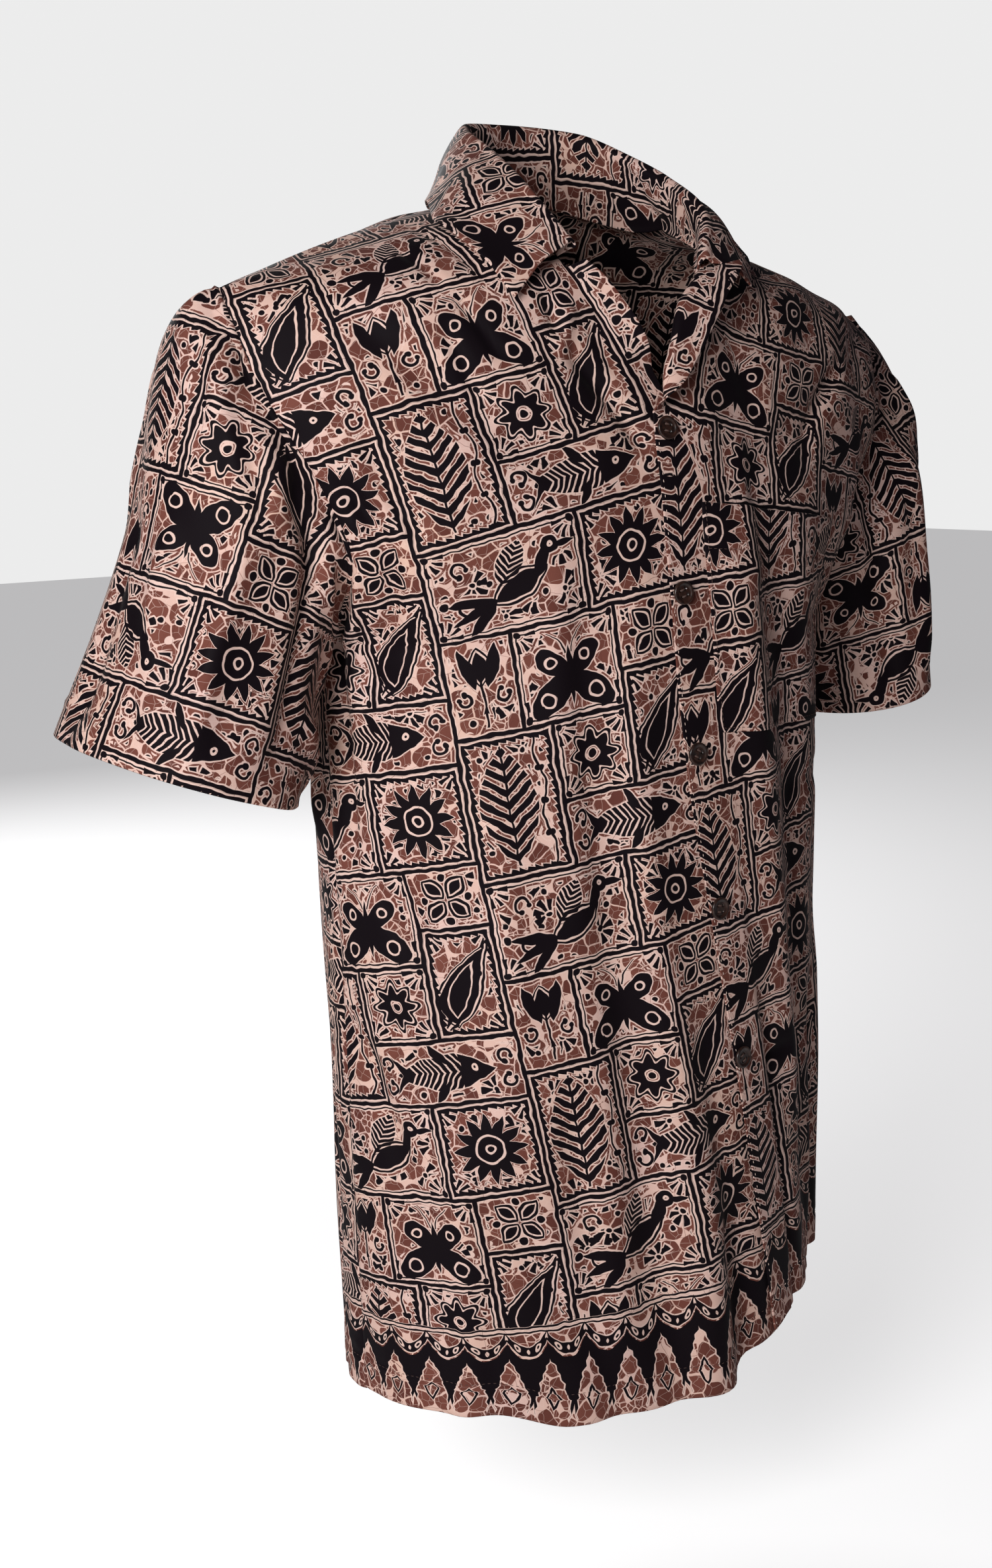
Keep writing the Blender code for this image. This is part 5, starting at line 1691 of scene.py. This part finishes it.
# frame corners x0 y0 x1 y1 in millimetres, its motif and its kind of line
FRAMES = [
    (0, 0, 56, 84, "fern", "saw"),
    (56, 0, 148, 38, "fish", "plain"),
    (56, 38, 102, 84, "flower", "thin"),
    (102, 38, 148, 104, "paisley", "saw"),
    (0, 84, 40, 140, "tulip", "plain"),
    (40, 84, 102, 140, "butterfly", "thin"),
    (102, 104, 148, 140, "four_leaves", "plain"),
    (0, 140, 88, 198, "bird", "thin"),
    (88, 140, 148, 198, "rays", "saw"),
]
MOTIFS = {
    "fern": lambda x, y: fern(x + 4, y, 17, 35, 3.8).least(vine(x - 17, y, 2.4, 6.0)),
    "fish": lambda x, y: fish(x + 1, y, 11.0, 31).least(curl(abs(x) - 37, abs(y) - 7.5, 3.6)),
    "flower": lambda x, y: flower(x, y, 16.5, 8, 2.4),
    "paisley": lambda x, y: paisley(x + 3, y, 14.0, 27),
    "tulip": lambda x, y: tulip(x, y, 17, 25).least(curl(abs(x) - 11, -y - 6, 3.4)),
    "butterfly": lambda x, y: butterfly(x, y + 4, 31),
    "four_leaves": lambda x, y: four_leaves(x, y, 16.5),
    "bird": lambda x, y: bird(x - 4, y + 1, 37).least(curl(x + 24, abs(y - 2) - 12, 4.2)),
    "rays": lambda x, y: rays(x, y, 22, 12),
}
WITH_FANS = ("flower", "butterfly", "rays", "paisley", "bird")
TOOTH = 2.4                   # half pitch of the saw teeth along the thick frames


def patchwork(x, y):
    """Ink distance of the motifs and the frames at (x, y) in millimetres."""
    column = (x / REPEAT[0]).maths("FLOOR")
    y = y + column * DROP
    ink, depth = None, None
    for x0, y0, x1, y1, motif, line in FRAMES:
        near_x = (x - (x0 + x1) / 2).wrap(REPEAT[0] / 2)
        near_y = (y - (y0 + y1) / 2).wrap(REPEAT[1] / 2)
        inside_x = (x1 - x0) / 2 - abs(near_x)
        inside_y = (y1 - y0) / 2 - abs(near_y)
        inside = inside_x.least(inside_y)
        shape = MOTIFS[motif](near_x, near_y)
        if motif in WITH_FANS:
            shape = shape.least(corner_fans(inside_x, inside_y))
        if line == "saw":
            saw = inside - (near_x + near_y).bounce(TOOTH) * 0.8 - 4.6
            shape = shape.least(saw).most(0.35 - abs(inside - 2.1))
        elif line == "thin":
            shape = shape.least(abs(inside - 3.0) - 0.6)
        shape = shape.most(LINE - inside)
        ink = shape if ink is None else ink.least(shape)
        depth = inside if depth is None else depth.most(inside)
    return ink.least(depth - LINE)


STONE = 10.4                  # size of the brown pebbles of the ground
PEBBLE = 6.9                  # pebbles end this far from their middles
CHIP = 4.4                    # size of the chips between them
CRACK = 6.2                   # spacing of the hairlines where the wax cracked
SPLIT = 23.0                  # spacing of the dark hairlines that the ink ran into
TUMPAL = 24.0                 # spacing of the border's points
TUMPAL_TALL = 40.0
BORDER = 60.0                 # height of the border
LAID_FROM = 3.0               # the patchwork is laid out from this far above the border
SHAKE = 2.6                   # how unsteady the drawn lines are
SHAKE_SIZE = 9.0
BERRY = 1.85                  # radius of the strewn dots
BERRY_SIZE = 9.0              # their spacing
BERRY_LESS = 0.45             # share of their places that have none
SPRIG_SIZE = 25.0
CLEAR = 2.6                   # how far dots and sprigs keep off the figures
CHIPPED = 0.16                # share of the pebbles that are broken into chips


def hem_border(x, y):
    """Ink distance in the border, at (x, y) in millimetres from the hem."""
    beside = abs(x.wrap(TUMPAL / 2))
    steps = (y + 1.5).bounce(2.9) * 0.34
    lean = y / (TUMPAL_TALL + 1.5)
    width = (1 - lean * lean) * 11.6
    point = beside - width.least(10.6) - steps + 1.1
    diamond = beside * 1.45 + abs(y - 15) - 7.5
    diamond = diamond.most(-2.6 - diamond)
    spur = (TUMPAL / 2 - beside) - (11 - y) * 0.30
    between = -(point.least(spur))
    low = between.least(diamond)
    from_scallop = TUMPAL / 2 - beside
    scallop = y - 40.5 - (from_scallop * from_scallop) * 0.075
    rings = abs(reach((beside - 6).wrap(3.6), scallop - 5.0) - 1.5) - 0.45
    lace = (abs(scallop - 5.0) - 3.4).most(-rings)
    lines = (abs(y - 58.6) - 0.7).least(abs(y - 61.4) - 0.75)
    return number_mix(scallop < 0.0, lace.least(lines), low)


def batik(name):
    """The printed cotton: pebbles, ink and pale wax lines."""
    made, shader = material(name, Sheen_Weight=0.02, Sheen_Roughness=0.4,
                            Specular_IOR_Level=0.05)
    Field.nodes = made.node_tree
    cut = Field.node("ShaderNodeUVMap", {"uv_map": "cut"})
    flat = scaled(cut, 1000.0)
    shake = vector_maths("SUBTRACT", cloud(flat, SHAKE_SIZE, 1.0, "Color"), (0.5, 0.5, 0.5))
    drawn = vector_maths("ADD", flat, scaled(shake, SHAKE))
    x = part(drawn)
    y = x.also("Y")

    field = patchwork(x, y - BORDER - LAID_FROM)
    dots = cells(drawn, BERRY_SIZE, "F1", 0.9)
    chance = part(dots.also("Color"))
    berries = (dots * BERRY_SIZE - BERRY).most((BERRY_LESS - chance) * 400)
    field = field.least(berries.least(sprigs(drawn, SPRIG_SIZE)).most(CLEAR - field))
    ink = number_mix(y > BORDER + 2.2, hem_border(x, y), field)

    stones = cells(drawn, STONE, "DISTANCE_TO_EDGE", 0.95) * STONE
    tint = cells(drawn, STONE, "F1", 0.95, "Color")
    kind = part(tint)
    shade = kind.also("Y")
    chips = cells(drawn, CHIP, "DISTANCE_TO_EDGE", 1.0) * CHIP
    chip_tint = part(cells(drawn, CHIP, "F1", 1.0, "Color"), "Z")
    rounded = stones.least(PEBBLE - cells(drawn, STONE, "F1", 0.95) * STONE)
    big = (rounded - 0.42).soft(-0.15, 0.15) * (kind > CHIPPED)
    small = (chips - 0.30).soft(-0.15, 0.15) * (chip_tint > 0.25) * (kind < CHIPPED)
    veins = (0.09 - cells(drawn, CRACK, "DISTANCE_TO_EDGE", 1.0) * CRACK).soft(-0.1, 0.1)
    off_ink = (ink - 0.64).soft(-0.15, 0.15)
    brown = big.most(small) * off_ink * (1 - veins * 0.55)
    ink_share = (-0.13 - ink).soft(-0.14, 0.14)
    print(name, "nodes:", len(made.node_tree.nodes))

    patch = cloud(flat, 55.0, 2.0)
    ground = colour_mix(patch, GROUND_PINK, GROUND_PEACH)
    ground = colour_mix((veins + (1 - off_ink)).least(1.0) * 0.45, ground, WAX)
    stone = colour_mix(shade, STONE_DARK, STONE_LIGHT)
    colour = colour_mix(brown, ground, stone)
    split = (0.10 - cells(drawn, SPLIT, "DISTANCE_TO_EDGE", 1.0) * SPLIT).soft(-0.08, 0.08)
    colour = colour_mix(split * 0.75, colour, STONE_DARK)
    colour = colour_mix(ink_share, colour, INK)
    weave = {"Strength": 0.25, "Distance": 0.0002, "Height": cloud(flat, 0.9, 2.0)}
    bump = Field.node("ShaderNodeBump", {}, weave, "Normal")
    feed(shader, Base_Color=colour, Normal=bump, Roughness=0.72 - ink_share * 0.08)
    return made


GROUND_PINK = (0.64, 0.435, 0.40, 1)
GROUND_PEACH = (0.65, 0.42, 0.32, 1)
WAX = (0.72, 0.55, 0.49, 1)
STONE_DARK = (0.104, 0.033, 0.025, 1)
STONE_LIGHT = (0.165, 0.056, 0.041, 1)
INK = (0.0058, 0.0034, 0.0050, 1)
cotton = batik("batik_cotton")

# %% [markdown]
# ## Finishes, pieces and their places
#
# The buttons are dark brown polyester, which is hard and a little glossy.  Then each piece
# gets its finish and its body, the CAD solid it stands for is hidden, and its cut is printed.

# %% Finishes and bodies
horn, shader = material("button_brown", Roughness=0.34, Coat_Weight=0.1)
Field.nodes = horn.node_tree
place = Field.node("ShaderNodeTexCoord", {}, {}, "Object")
swirl = Field.node("ShaderNodeTexNoise", {},
                   {"Vector": place, "Scale": 260.0, "Detail": 2.0, "Distortion": 1.2}, "Fac")
shade = colour_mix(swirl.soft(0.35, 0.65), (0.008, 0.004, 0.003, 1), (0.034, 0.013, 0.008, 1))
feed(shader, Base_Color=shade)


def dress(piece, nodes, finish):
    piece.data.materials.clear()
    piece.data.materials.append(finish)
    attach(piece, "root")
    if nodes:
        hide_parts(*nodes)


for name, (piece, flat) in sheets.items():
    dress(piece, [name], cotton)
for name, piece in stitches.items():
    dress(piece, [], thread_cream if name == "front_left" else thread_brown)
for number, (button, thread) in enumerate(buttons, 1):
    dress(button, [f"button_{number}"], horn)
    dress(thread, [], thread_brown)
for name, (piece, flat) in sheets.items():
    corner = flat.reshape(-1, 2)
    width, length = corner.max(0) - corner.min(0)
    sewn = [stitches[name]] if name in stitches else []
    if name == "front_left":
        sewn += [item for pair in buttons for item in pair]
    min(flat_area(flat), 0.999 * float(width * length))
    print(name, "cut", round(float(width), 3), "x", round(float(length), 3),
          "area", round(flat_area(flat), 4))

# %% [markdown]
# ## Floor, light and camera
#
# The shirt hangs as if it were worn, so it casts a faint shadow on a pale floor well below
# it.  One soft lamp on the viewer's left leaves the wearer's left side in shade, where only
# the air and the floor light it, and a lamp behind the shirt draws its far edges.

# %% Stage
FLOOR_Z = -0.86
FLOOR_HALF = 9
corners = [(x * FLOOR_HALF, y * FLOOR_HALF, FLOOR_Z) for x, y in ((-1, -1), (1, -1), (1, 1), (-1, 1))]
floor = mesh_piece("floor", np.array(corners, float), [(0, 1, 2, 3)])
floor_paint, shader = material("floor_paint", Base_Color=(0.86, 0.86, 0.86, 1), Roughness=0.9,
                               Emission_Color=(0.46, 0.46, 0.46, 1))
floor.data.materials.append(floor_paint)
seen = floor_paint.node_tree.nodes.new("ShaderNodeLightPath")
floor_paint.node_tree.links.new(seen.outputs["Is Camera Ray"], shader.inputs["Emission Strength"])

world = bpy.data.worlds.new("studio")
world.use_nodes = True
world_nodes = world.node_tree
backdrop, seen, choice = (world_nodes.nodes.new("ShaderNode" + kind)
                          for kind in ("Background", "LightPath", "MixShader"))
air = world_nodes.nodes["Background"]
for light, colour, strength in ((backdrop, (1, 1, 1, 1), 0.84), (air, (1.0, 0.88, 1.06, 1), 0.045)):
    light.inputs["Color"].default_value = colour
    light.inputs["Strength"].default_value = strength
for number, output in enumerate((seen.outputs["Is Camera Ray"], air.outputs[0], backdrop.outputs[0])):
    world_nodes.links.new(output, choice.inputs[number])
world_nodes.links.new(choice.outputs[0], world_nodes.nodes["World Output"].inputs["Surface"])
bpy.context.scene.world = world
bpy.context.scene.view_settings.view_transform = "Standard"


def lamp(name, place, target, size, watts):
    light = bpy.data.lights.new(name, "AREA")
    light.shape = "DISK"
    light.size = size
    light.energy = watts
    stand = placed(name, light)
    stand.location = place
    stand.rotation_euler = (Vector(target) - Vector(place)).to_track_quat("-Z", "Y").to_euler()


MIDDLE = (0, 0, -0.33)
lamp("key", (-1.47, -0.9, 0.2), MIDDLE, 0.8, 31)
lamp("rim", (0.3, 2.5, 0.9), MIDDLE, 1.5, 40)

# %% Camera
AZIMUTH, ELEVATION, ROLL = (math.radians(a) for a in (-34.0, 10.0, -1.5))
DISTANCE = 1.25
LOOKS_AT = Vector((-0.064, 0, -0.34))
FOCAL_SHARE = 3090 / 2371     # focal length as a share of the picture's height
SENSOR = 24.0
back_way = Vector((math.sin(AZIMUTH) * math.cos(ELEVATION), -math.cos(AZIMUTH) * math.cos(ELEVATION),
                   math.sin(ELEVATION)))
right_way = Vector((math.cos(AZIMUTH), math.sin(AZIMUTH), 0))
up_way = back_way.cross(right_way)
right_turned = right_way * math.cos(ROLL) + up_way * math.sin(ROLL)
up_turned = up_way * math.cos(ROLL) - right_way * math.sin(ROLL)
camera = placed("camera", bpy.data.cameras.new("camera"))
camera.data.sensor_fit = "VERTICAL"
camera.data.sensor_height = SENSOR
camera.data.lens = SENSOR * FOCAL_SHARE
place = LOOKS_AT + back_way * DISTANCE
turned = Matrix((right_turned, up_turned, back_way)).transposed()
camera.matrix_world = Matrix.Translation(place) @ turned.to_4x4()
bpy.context.scene.camera = camera
print("camera at", [round(v, 3) for v in place])
